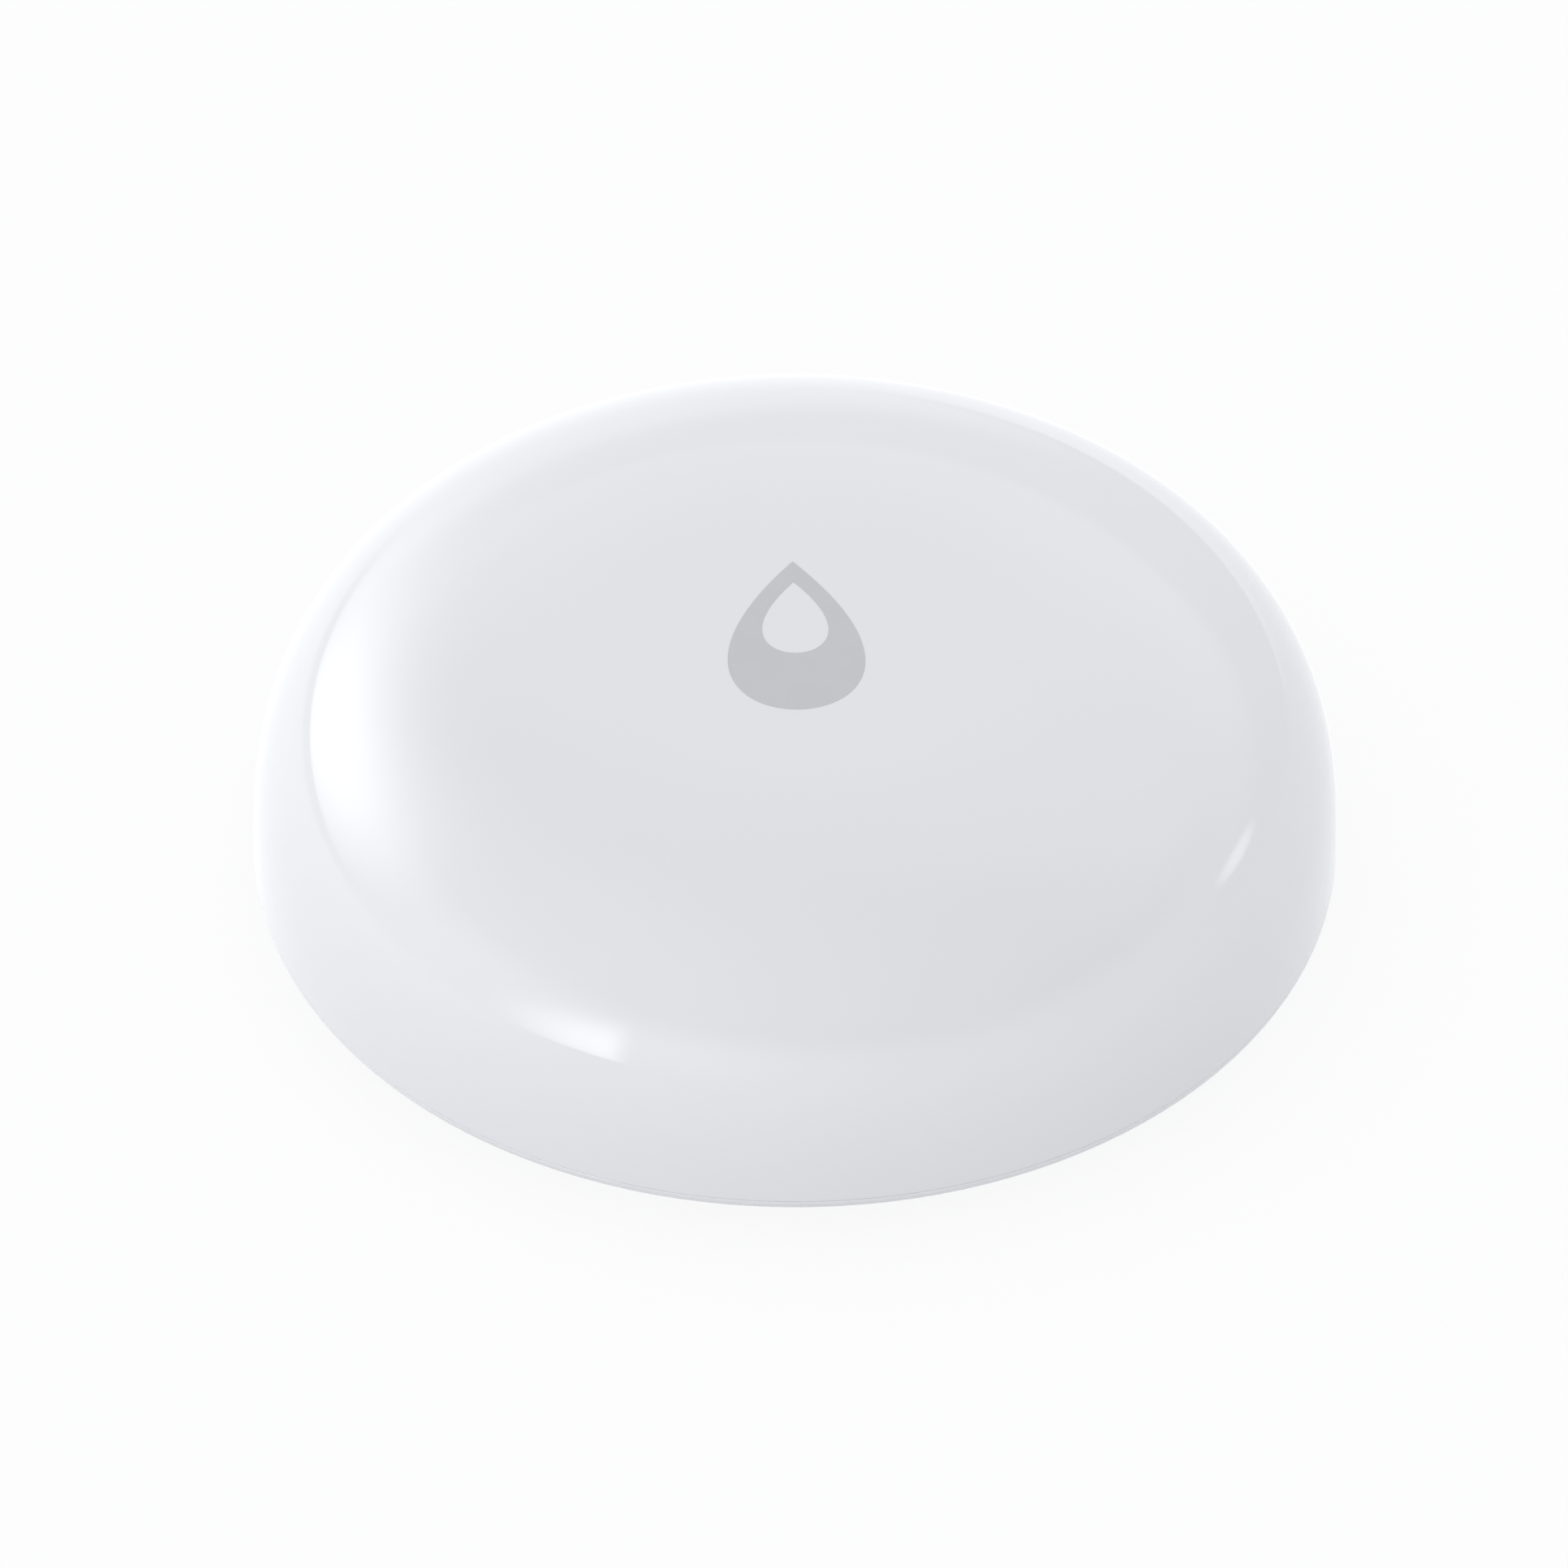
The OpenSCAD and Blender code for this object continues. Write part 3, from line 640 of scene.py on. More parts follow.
@dataclass(frozen=True)
class SheetMetalFinish(MetalFinish):
    """Rolled, plated or brushed sheet metal."""

    line_scale: float = 9000.0
    stretch: float = 0.03

    def marks(self, sheet: NodeSheet, effects: SharedEffects) -> Socket:
        """Long fine lines."""
        feeds = {"Line scale": self.line_scale, "Stretch": self.stretch}
        return sheet.place(effects.brushed, feeds).outputs[0]


@dataclass(frozen=True)
class TurnedMetalFinish(MetalFinish):
    """Metal turned on a lathe, with fine rings about its axes."""

    relief: float = 0.003 * MM
    axis_place: float = 0.0
    pitch: float = 0.08 * MM

    def marks(self, sheet: NodeSheet, effects: SharedEffects) -> Socket:
        """Rings about the axes."""
        feeds = {"Axis place": self.axis_place, "Pitch": self.pitch}
        return sheet.place(effects.rings, feeds).outputs[0]


@dataclass(frozen=True)
class BoardFinish(Finish):
    """Solder mask over laminate, with copper tracks that show as lighter, raised lines."""

    cell_scale: float = 330.0
    track_pitch: float = 0.09
    track_band: tuple[float, float] = (0.35, 0.45)
    grain_scale: float = 9000.0
    relief: float = 0.02 * MM

    def feeds(self, sheet: NodeSheet, effects: SharedEffects) -> dict[str, object]:
        """Feeds the shader with the tracks and the mask's grain.

        Args:
            sheet: The sheet of the material's tree.
            effects: The shared shader groups.

        Returns:
            What the shader's inputs are fed, by name.
        """
        cells = sheet.node("ShaderNodeTexVoronoi", {
            "Vector": sheet.spot(), "Scale": self.cell_scale},
            distance="MANHATTAN", voronoi_dimensions="2D").outputs["Distance"]
        fold = sheet.math("PINGPONG", cells, self.track_pitch)
        tracks = sheet.ramp(fold, *[share * self.track_pitch for share in self.track_band])
        grain = sheet.place(effects.grain, {
            "Roughness low": self.roughness[0], "Roughness high": self.roughness[1],
            "Grain scale": self.grain_scale}).outputs
        return {"Base Color": self.mixed(sheet, tracks), "Roughness": grain["Roughness"],
                "Normal": sheet.bump(tracks, self.relief)}


class Wardrobe:
    """The materials of the record's slots, each built once when it is first worn."""

    def __init__(self, finishes: tuple[Finish, ...]) -> None:
        """Keeps the finishes by name.

        Args:
            finishes: The finishes, each named after its slot.
        """
        self.effects = SharedEffects()
        self.finishes = {finish.name: finish for finish in finishes}
        self.made: dict[str, Material] = {}

    def material(self, slot: str) -> Material:
        """The material of a slot.

        Args:
            slot: The record's material slot.

        Returns:
            The material.
        """
        if slot not in self.made:
            self.made[slot] = self.finishes[slot].build(self.effects)
        return self.made[slot]


def wear(piece: Piece, material: Material) -> None:
    """Gives a piece one material, in place of those it has."""
    piece.data.materials.clear()
    piece.data.materials.append(material)


@dataclass
class SubAssembly:
    """What every sub-assembly can do: settle its pieces on the frame."""

    wardrobe: Wardrobe

    def settle(self, piece: Piece, body: Body, slot: str, *nodes: str) -> Piece:
        """Dresses a piece, puts it on its body and reports it.

        Args:
            piece: The piece.
            body: The body that it rides on.
            slot: The record's material slot.
            nodes: The nodes that it stands for.

        Returns:
            The same piece.
        """
        wear(piece, self.wardrobe.material(slot))
        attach(piece, body.value)
        if nodes:
            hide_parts(*nodes)
        LOG.info("%s rides on %s, %d faces", piece.name, body.value, len(piece.data.polygons))
        return piece

    def round_off(self, node: str, slot: str, radius: float, body: Body = Body.CASE) -> Piece:
        """Puts a rounded copy in a node's place.

        Args:
            node: The node's name.
            slot: The record's material slot.
            radius: How far the rounding reaches along each face.
            body: The body that it rides on.

        Returns:
            The rounded piece.
        """
        return self.settle(rounded_copy(node, node + "_rounded", radius), body, slot, node)


@dataclass
class LatheShapes:
    """Geometry groups that draw a dome's profile and turn profiles round the upright axis."""

    profile_points: int = 600

    def __post_init__(self) -> None:
        """Builds the groups."""
        self.profile = self._profile()
        self.turn = self._turn()

    def _profile(self) -> Tree:
        """A flat-crowned dome's profile, from a height on its side up to a radius on its crown.

        Returns:
            The group's tree.
        """
        group = NodeGroup("Dome profile", TreeKind.GEOMETRY, ports(
            SocketKind.FLOAT, "Radius", "Rise", "Foot", "Shoulder", "Side", "From height",
            "To radius"), [Port("Curve", SocketKind.GEOMETRY)])
        sheet, given = group.sheet, group.given
        line = sheet.node("GeometryNodeCurvePrimitiveLine", {"Start": (0, 0, 0), "End": (1, 0, 0)})
        fine = sheet.node("GeometryNodeResampleCurve", {
            "Curve": line.outputs[0], "Count": self.profile_points}, mode="COUNT")
        along = sheet.node("GeometryNodeSplineParameter").outputs["Factor"]
        risen = sheet.math("DIVIDE", sheet.math("SUBTRACT", given["From height"], given["Foot"]),
                           given["Rise"])
        start = sheet.math("ARCSINE", sheet.math("POWER", risen,
                                                 sheet.math("DIVIDE", given["Side"], 2.0)))
        reach = sheet.math("DIVIDE", given["To radius"], given["Radius"])
        stop = sheet.math("ARCCOSINE", sheet.math("POWER", reach,
                                                  sheet.math("DIVIDE", given["Shoulder"], 2.0)))
        angle = sheet.math("MULTIPLY_ADD", along, sheet.math("SUBTRACT", stop, start), start)
        wide = sheet.math("POWER", sheet.math("COSINE", angle),
                          sheet.math("DIVIDE", 2.0, given["Shoulder"]))
        high = sheet.math("POWER", sheet.math("SINE", angle),
                          sheet.math("DIVIDE", 2.0, given["Side"]))
        point = sheet.vector(sheet.math("MULTIPLY", wide, given["Radius"]),
                             z=sheet.math("MULTIPLY_ADD", high, given["Rise"], given["Foot"]))
        drawn = sheet.node("GeometryNodeSetPosition", {
            "Geometry": fine.outputs[0], "Position": point})
        return group.end(Curve=drawn.outputs[0])

    @staticmethod
    def _turn() -> Tree:
        """Turns a profile in the XZ plane once round Z. A profile that climbs faces outwards.

        Returns:
            The group's tree.
        """
        group = NodeGroup("Turned profile", TreeKind.GEOMETRY, [
            Port("Profile", SocketKind.GEOMETRY),
            Port("Steps round", SocketKind.INTEGER, 64),
            Port("Steps along", SocketKind.INTEGER, 1),
        ], [Port("Mesh", SocketKind.GEOMETRY)])
        sheet, given = group.sheet, group.given
        side = 1.0
        grid = sheet.node("GeometryNodeMeshGrid", {
            "Size X": side, "Size Y": side,
            "Vertices X": sheet.math("ADD", given["Steps round"], 1.0),
            "Vertices Y": sheet.math("ADD", given["Steps along"], 1.0)})
        place = sheet.node("ShaderNodeSeparateXYZ", {
            0: sheet.node("GeometryNodeInputPosition").outputs[0]}).outputs
        share_round, share_along = [sheet.math("ADD", place[i], side / 2.0) for i in range(2)]
        sample = sheet.node("GeometryNodeSampleCurve", {
            "Curves": given["Profile"], "Factor": share_along}, mode="FACTOR")
        turned = sheet.node("ShaderNodeVectorRotate", {
            "Vector": sample.outputs["Position"],
            "Angle": sheet.math("MULTIPLY", share_round, math.tau)}, rotation_type="Z_AXIS")
        moved = sheet.node("GeometryNodeSetPosition", {
            "Geometry": grid.outputs[0], "Position": turned.outputs[0]})
        return group.end(Mesh=moved.outputs[0])


@dataclass
class TopShell(SubAssembly):
    """The glossy domed shell, hollow inside, with the boss that presses the switch."""

    shoulder: float = 5.0
    side: float = 2.9
    edge_radius: float = 0.08 * MM
    boss_radius: float = 2.0 * MM
    seal_fit: float = 0.01 * MM
    skirt_gap: float = 0.1 * MM
    press_gap: float = 0.05 * MM
    steps_round: int = 288
    steps_up: int = 150
    steps_inside: int = 48
    edge_points: int = 24
    edge_steps: int = 8

    def __post_init__(self) -> None:
        """Takes the shell's sizes from the frame."""
        low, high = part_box("top_shell")
        self.radius = high.x
        self.foot = low.z
        self.crown = high.z
        self.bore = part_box("shell_seal")[1].x + self.seal_fit
        self.wall = self.radius - self.bore
        self.bore_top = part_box("base_shell")[1].z + self.skirt_gap
        self.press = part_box("switch_plunger")[1].z + self.press_gap

    def height(self, x: float, y: float) -> float:
        """Finds the height of the outer surface above a place on the floor.

        Args:
            x: The place across.
            y: The place towards the drop's tip.

        Returns:
            The height.
        """
        share = min(math.hypot(x, y) / self.radius, 1.0)
        rise = self.crown - self.foot
        return self.foot + rise * (1.0 - share ** self.shoulder) ** (1.0 / self.side)

    def tree(self, shapes: LatheShapes) -> Tree:
        """Geometry tree of the shell: its profile in eight stretches, each turned round the axis.

        Args:
            shapes: The groups that draw and turn profiles.

        Returns:
            The tree.
        """
        group = NodeGroup("Domed shell", TreeKind.GEOMETRY, [
            *ports(SocketKind.FLOAT, "Radius", "Foot", "Crown", "Shoulder", "Side", "Edge radius",
                   "Bore", "Bore top", "Wall", "Boss radius", "Press height"),
            *ports(SocketKind.INTEGER, "Steps round", "Steps up", "Steps inside"),
            Port("Material", SocketKind.MATERIAL),
        ], [Port("Geometry", SocketKind.GEOMETRY)])
        sheet, given = group.sheet, group.given

        def corner(across: object, up: object) -> Socket:
            """A corner of the profile."""
            return sheet.vector(across, z=up)

        def line(start: Socket, end: Socket) -> Socket:
            """A straight stretch between two corners."""
            feeds = {"Start": start, "End": end}
            return sheet.node("GeometryNodeCurvePrimitiveLine", feeds).outputs[0]

        def dome(radius: object, crown: object, low: object, inmost: object) -> Socket:
            """A domed stretch from its lowest height to its inmost radius."""
            rise = sheet.math("SUBTRACT", crown, given["Foot"])
            return sheet.place(shapes.profile, {
                "Radius": radius, "Rise": rise, "From height": low, "To radius": inmost,
                **{name: given[name] for name in ("Foot", "Shoulder", "Side")}}).outputs[0]

        def end_of(curve: Socket, share: float) -> Socket:
            """The corner at a share of a stretch."""
            feeds = {"Curves": curve, "Factor": share}
            return sheet.node("GeometryNodeSampleCurve", feeds, mode="FACTOR").outputs["Position"]

        ceiling_top = sheet.math("SUBTRACT", given["Crown"], given["Wall"])
        edge_top = sheet.math("ADD", given["Foot"], given["Edge radius"])
        edge_in = sheet.math("SUBTRACT", given["Radius"], given["Edge radius"])
        press_middle = corner(0.0, given["Press height"])
        press_rim = corner(given["Boss radius"], given["Press height"])
        bore_top = corner(given["Bore"], given["Bore top"])
        bore_foot = corner(given["Bore"], given["Foot"])
        ceiling = dome(given["Bore"], ceiling_top, given["Bore top"], given["Boss radius"])
        downwards = sheet.node("GeometryNodeReverseCurve", {"Curve": ceiling})
        arc = sheet.node("GeometryNodeCurveArc", {
            "Resolution": self.edge_points, "Radius": given["Edge radius"],
            "Start Angle": -math.pi / 2, "Sweep Angle": math.pi / 2}, mode="RADIUS")
        edge = sheet.node("GeometryNodeTransform", {
            "Geometry": arc.outputs[0], "Rotation": (math.pi / 2, 0, 0),
            "Translation": corner(edge_in, edge_top)})
        stretches = [
            (line(press_middle, press_rim), 1),
            (line(press_rim, end_of(ceiling, 1.0)), 1),
            (downwards.outputs[0], given["Steps inside"]),
            (line(end_of(ceiling, 0.0), bore_top), 1),
            (line(bore_top, bore_foot), 1),
            (line(bore_foot, corner(edge_in, given["Foot"])), 1),
            (edge.outputs[0], self.edge_steps),
            (dome(given["Radius"], given["Crown"], edge_top, 0.0), given["Steps up"]),
        ]
        joined = sheet.node("GeometryNodeJoinGeometry")
        for profile, steps in stretches:
            skin = sheet.place(shapes.turn, {
                "Profile": profile, "Steps round": given["Steps round"], "Steps along": steps})
            sheet.feed(joined.inputs[0], skin.outputs[0])
        return group.end_dressed(sheet.welded(joined.outputs[0]))

    def build(self, shapes: LatheShapes) -> None:
        """Grows the shell and puts it on the case.

        Args:
            shapes: The groups that draw and turn profiles.
        """
        piece = grow("domed_shell", self.tree(shapes), {
            "Radius": self.radius, "Foot": self.foot, "Crown": self.crown,
            "Shoulder": self.shoulder, "Side": self.side, "Edge radius": self.edge_radius,
            "Bore": self.bore, "Bore top": self.bore_top, "Wall": self.wall,
            "Boss radius": self.boss_radius, "Press height": self.press,
            "Steps round": self.steps_round, "Steps up": self.steps_up,
            "Steps inside": self.steps_inside,
            "Material": self.wardrobe.material("shell_gloss")})
        shade(piece.data)
        self.settle(piece, Body.CASE, "shell_gloss", "top_shell")


@dataclass
class DropMark(SubAssembly):
    """The grey drop printed on the crown: a thin film with a bare drop inside it."""

    hole_length: float = 5.0 * MM
    hole_width: float = 3.05 * MM
    hole_shift: float = 1.25 * MM
    proud: float = 0.012 * MM
    sunk: float = 0.03 * MM
    points: int = 160
    rows: int = 10

    @staticmethod
    def outline(turn: float, length: float, width: float) -> tuple[float, float]:
        """Finds a point of the teardrop curve, whose tip lies towards +Y at no turn.

        Args:
            turn: How far round the curve the point lies, in radians.
            length: The drop's length.
            width: The drop's width.

        Returns:
            The point's place across and along.
        """
        widest = 4.0 / (3.0 * math.sqrt(3.0))
        across = width / (2.0 * widest) * math.sin(turn) * abs(math.sin(turn / 2.0))
        return across, length / 2.0 * math.cos(turn)

    def build(self, shell: TopShell) -> None:
        """Builds the film on the shell's crown.

        Args:
            shell: The shell that the drop is printed on.
        """
        low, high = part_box("drop_mark")
        length, width = high.y - low.y, high.x - low.x
        middle = (high.y + low.y) / 2.0
        shape = bmesh.new()
        layers = []
        for lift in (self.proud, -self.sunk):
            grid = []
            for row in range(self.rows + 1):
                share = row / self.rows
                ring = []
                for i in range(self.points):
                    turn = math.tau * i / self.points
                    outer_x, outer_y = self.outline(turn, length, width)
                    inner_x, inner_y = self.outline(turn, self.hole_length, self.hole_width)
                    x = outer_x + (inner_x - outer_x) * share
                    y = middle + outer_y + (inner_y + self.hole_shift - outer_y) * share
                    ring.append(shape.verts.new((x, y, shell.height(x, y) + lift)))
                grid.append(ring)
            layers.append(grid)
        top, bottom = layers
        for i in range(self.points):
            j = (i + 1) % self.points
            for row in range(self.rows):
                shape.faces.new((top[row][i], top[row][j], top[row + 1][j], top[row + 1][i]))
                shape.faces.new((bottom[row][i], bottom[row + 1][i],
                                 bottom[row + 1][j], bottom[row][j]))
            shape.faces.new((top[0][j], top[0][i], bottom[0][i], bottom[0][j]))
            shape.faces.new((top[-1][i], top[-1][j], bottom[-1][j], bottom[-1][i]))
        bmesh.ops.recalc_face_normals(shape, faces=shape.faces)
        mesh = bpy.data.meshes.new("printed_drop")
        shape.to_mesh(mesh)
        shape.free()
        shade(mesh)
        self.settle(link_object("printed_drop", mesh), Body.CASE, "mark_ink", "drop_mark")


@dataclass
class Underside(SubAssembly):
    """The base shell and the battery cover that turns in it."""

    edge: float = 0.08 * MM

    def build(self) -> None:
        """Rounds the base and the cover."""
        self.round_off("base_shell", "base_plastic", self.edge)
        self.round_off("battery_cover", "cover_plastic", self.edge, Body.COVER)


@dataclass
class Seals(SubAssembly):
    """The rubber rings between the shells, round the cover and under the probe heads."""

    steps_round: int = 160
    steps_across: int = 20

    @staticmethod
    def tree(shapes: LatheShapes) -> Tree:
        """Geometry tree of rings of round cord, one on each seed point.

        Args:
            shapes: The groups that draw and turn profiles.

        Returns:
            The tree.
        """
        group = NodeGroup("Cord rings", TreeKind.GEOMETRY, [
            Port("Seeds", SocketKind.GEOMETRY),
            Port("Ring radius", SocketKind.FLOAT, 10.0 * MM),
            Port("Cord radius", SocketKind.FLOAT, 0.5 * MM),
            Port("Steps round", SocketKind.INTEGER, 64),
            Port("Steps across", SocketKind.INTEGER, 16),
            Port("Material", SocketKind.MATERIAL),
        ], [Port("Geometry", SocketKind.GEOMETRY)])
        sheet, given = group.sheet, group.given
        cord = sheet.node("GeometryNodeCurvePrimitiveCircle", {
            "Resolution": given["Steps across"], "Radius": given["Cord radius"]}, mode="RADIUS")
        upright = sheet.node("GeometryNodeTransform", {
            "Geometry": cord.outputs[0], "Rotation": (math.pi / 2, 0, 0),
            "Translation": sheet.vector(given["Ring radius"])})
        ring = sheet.place(shapes.turn, {
            "Profile": upright.outputs[0], "Steps round": given["Steps round"],
            "Steps along": given["Steps across"]})
        rings = sheet.node("GeometryNodeInstanceOnPoints", {
            "Points": given["Seeds"], "Instance": sheet.welded(ring.outputs[0])})
        return group.end_dressed(rings.outputs[0])

    def build(self, shapes: LatheShapes) -> None:
        """Grows each seal in its groove.

        Args:
            shapes: The groups that draw and turn profiles.
        """
        tree = self.tree(shapes)
        for node, body in (("shell_seal", Body.CASE), ("cover_seal", Body.COVER),
                           ("probe_seals", Body.CASE)):
            boxes = solid_boxes(node)
            low, high = boxes[0]
            cord = (high.z - low.z) / 2.0
            piece = grow(node + "_cords", tree, {
                "Ring radius": (high.x - low.x) / 2.0 - cord, "Cord radius": cord,
                "Steps round": self.steps_round, "Steps across": self.steps_across,
                "Material": self.wardrobe.material("seal_rubber"),
            }, [(a + b) / 2.0 for a, b in boxes])
            shade(piece.data)
            self.settle(piece, body, "seal_rubber", node)


@dataclass
class Probes(SubAssembly):
    """The two contact screws, the inserts that hold them and the springs that reach the board."""

    head_edge: float = 0.06 * MM
    insert_edge: float = 0.04 * MM
    leaf_edge: float = 0.03 * MM

    def build(self) -> None:
        """Rounds the pieces of both probes."""
        self.round_off("probe_screws", "probe_nickel", self.head_edge)
        self.round_off("probe_inserts", "insert_brass", self.insert_edge)
        self.round_off("probe_contacts", "contact_metal", self.leaf_edge)


@dataclass
class Board(SubAssembly):
    """The circuit board, its screws and the parts soldered to it."""

    board_edge: float = 0.04 * MM
    screw_edge: float = 0.05 * MM
    part_edge: float = 0.05 * MM
    end_share: float = 0.2
    end_lip: float = 0.02 * MM

    @staticmethod
    def chip_tree() -> Tree:
        """Geometry tree of chip parts, one on each seed point: a body, or the metal ends of one.

        Returns:
            The tree.
        """
        group = NodeGroup("Chip parts", TreeKind.GEOMETRY, [
            Port("Seeds", SocketKind.GEOMETRY),
            Port("Size", SocketKind.VECTOR),
            Port("Apart", SocketKind.FLOAT, 0.0),
            Port("Material", SocketKind.MATERIAL),
        ], [Port("Geometry", SocketKind.GEOMETRY)])
        sheet, given = group.sheet, group.given
        block = sheet.node("GeometryNodeMeshCube", {"Size": given["Size"]})
        joined = sheet.node("GeometryNodeJoinGeometry")
        for side in (-0.5, 0.5):
            moved = sheet.node("GeometryNodeTransform", {
                "Geometry": block.outputs[0],
                "Translation": sheet.vector(sheet.math("MULTIPLY", given["Apart"], side))})
            sheet.feed(joined.inputs[0], moved.outputs[0])
        parts = sheet.node("GeometryNodeInstanceOnPoints", {
            "Points": given["Seeds"], "Instance": sheet.welded(joined.outputs[0])})
        return group.end_dressed(parts.outputs[0])

    def build_chips(self, tree: Tree, node: str, slot: str) -> None:
        """Grows the bodies and the metal ends of one kind of chip part.

        Args:
            tree: The geometry tree of chip parts.
            node: The node that they stand for.
            slot: The record's material slot of the bodies.
        """
        boxes = solid_boxes(node)
        seeds = [(low + high) / 2.0 for low, high in boxes]
        size = boxes[0][1] - boxes[0][0]
        end = size.x * self.end_share
        body = size - 2.0 * Vector((end, self.end_lip, self.end_lip))
        cap = Vector((end, size.y, size.z))
        for name, part, apart, finish, nodes in (
                (node + "_bodies", body, 0.0, slot, (node,)),
                (node + "_ends", cap, size.x - end, "contact_metal", ())):
            piece = grow(name, tree, {
                "Size": part, "Apart": apart,
                "Material": self.wardrobe.material(finish)}, seeds)
            self.settle(round_edges(piece, self.part_edge), Body.CASE, finish, *nodes)

    def build(self) -> None:
        """Rounds the board and its parts, and grows the chip parts."""
        self.round_off("circuit_board", "board_laminate", self.board_edge)
        self.round_off("board_screws", "screw_steel", self.screw_edge)
        for node, slot in (("radio_chip", "chip_epoxy"), ("crystal", "crystal_lid"),
                           ("status_led", "led_resin"), ("chip_antenna", "antenna_ceramic"),
                           ("bulk_capacitor", "bulk_epoxy")):
            self.round_off(node, slot, self.part_edge)
        tree = self.chip_tree()
        self.build_chips(tree, "capacitors", "capacitor_ceramic")
        self.build_chips(tree, "resistors", "chip_epoxy")


@dataclass
class PushSwitch(SubAssembly):
    """The switch under the drop: housing, terminals, snap disc, plunger and frame."""

    edge: float = 0.05 * MM
    sheet_edge: float = 0.03 * MM
    disc_keep: float = 0.42

    def build(self) -> None:
        """Rounds the pieces, and gives the snap disc a mesh of its own."""
        self.round_off("switch_housing", "switch_plastic", self.edge)
        self.round_off("switch_terminals", "contact_metal", self.sheet_edge)
        self.round_off("switch_frame", "screw_steel", self.sheet_edge)
        self.round_off("switch_plunger", "plunger_plastic", self.edge, Body.PLUNGER)
        disc = self.round_off("snap_disc", "screw_steel", self.sheet_edge)
        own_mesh(disc)


@dataclass
class Battery(SubAssembly):
    """The coin cell and the two springs that touch it."""

    cell_edge: float = 0.1 * MM
    inner_edge: float = 0.04 * MM

    def build(self) -> None:
        """Rounds the cell's pieces and the springs."""
        self.round_off("cell_can", "cell_steel", self.cell_edge)
        self.round_off("cell_cap", "cell_steel", self.cell_edge)
        self.round_off("cell_core", "cell_pellet", self.inner_edge)
        self.round_off("cell_gasket", "gasket_nylon", self.inner_edge)
        self.round_off("positive_contact", "contact_metal", self.inner_edge)
        self.round_off("negative_contact", "contact_metal", self.inner_edge)


@dataclass(frozen=True)
class SoftLight:
    """A soft light of the studio, seen far off in one direction.

    One of negative strength is a dark flag. Azimuth runs from +Y towards +X. The light fades from
    its core outwards, and up to two straight edges cut it off. Each edge is given by the azimuth
    and elevation that its inner side faces, and has its own softness.
    """

    name: str
    strength: float
    azimuth: float
    elevation: float
    half_width: float
    half_height: float
    core: float
    edges: tuple[tuple[float, float], ...] = ()
    softness: tuple[float, float] = (0.03, 0.03)

    @staticmethod
    def way(azimuth: float, elevation: float) -> Vector:
        """Finds a direction.

        Args:
            azimuth: Its azimuth.
            elevation: Its elevation.

        Returns:
            The direction, of length 1.
        """
        turn, rise = math.radians(azimuth), math.radians(elevation)
        flat = math.cos(rise)
        return Vector((math.sin(turn) * flat, math.cos(turn) * flat, math.sin(rise)))

    def feeds(self) -> dict:
        """What the light's node group is fed.

        Returns:
            The group's inputs, by name.
        """
        aim = self.way(self.azimuth, self.elevation)
        across = self.way(self.azimuth + RIGHT_ANGLE, 0.0)
        first, second = ([self.way(*edge) for edge in self.edges] + [aim, aim])[:2]
        return {"Aim": aim, "Across": across, "Upwards": across.cross(aim),
                "Edge": first, "Other edge": second,
                "Half width": math.sin(math.radians(self.half_width)),
                "Half height": math.sin(math.radians(self.half_height)),
                "Softness": self.softness[0], "Other softness": self.softness[1],
                "Core": self.core, "Strength": self.strength}


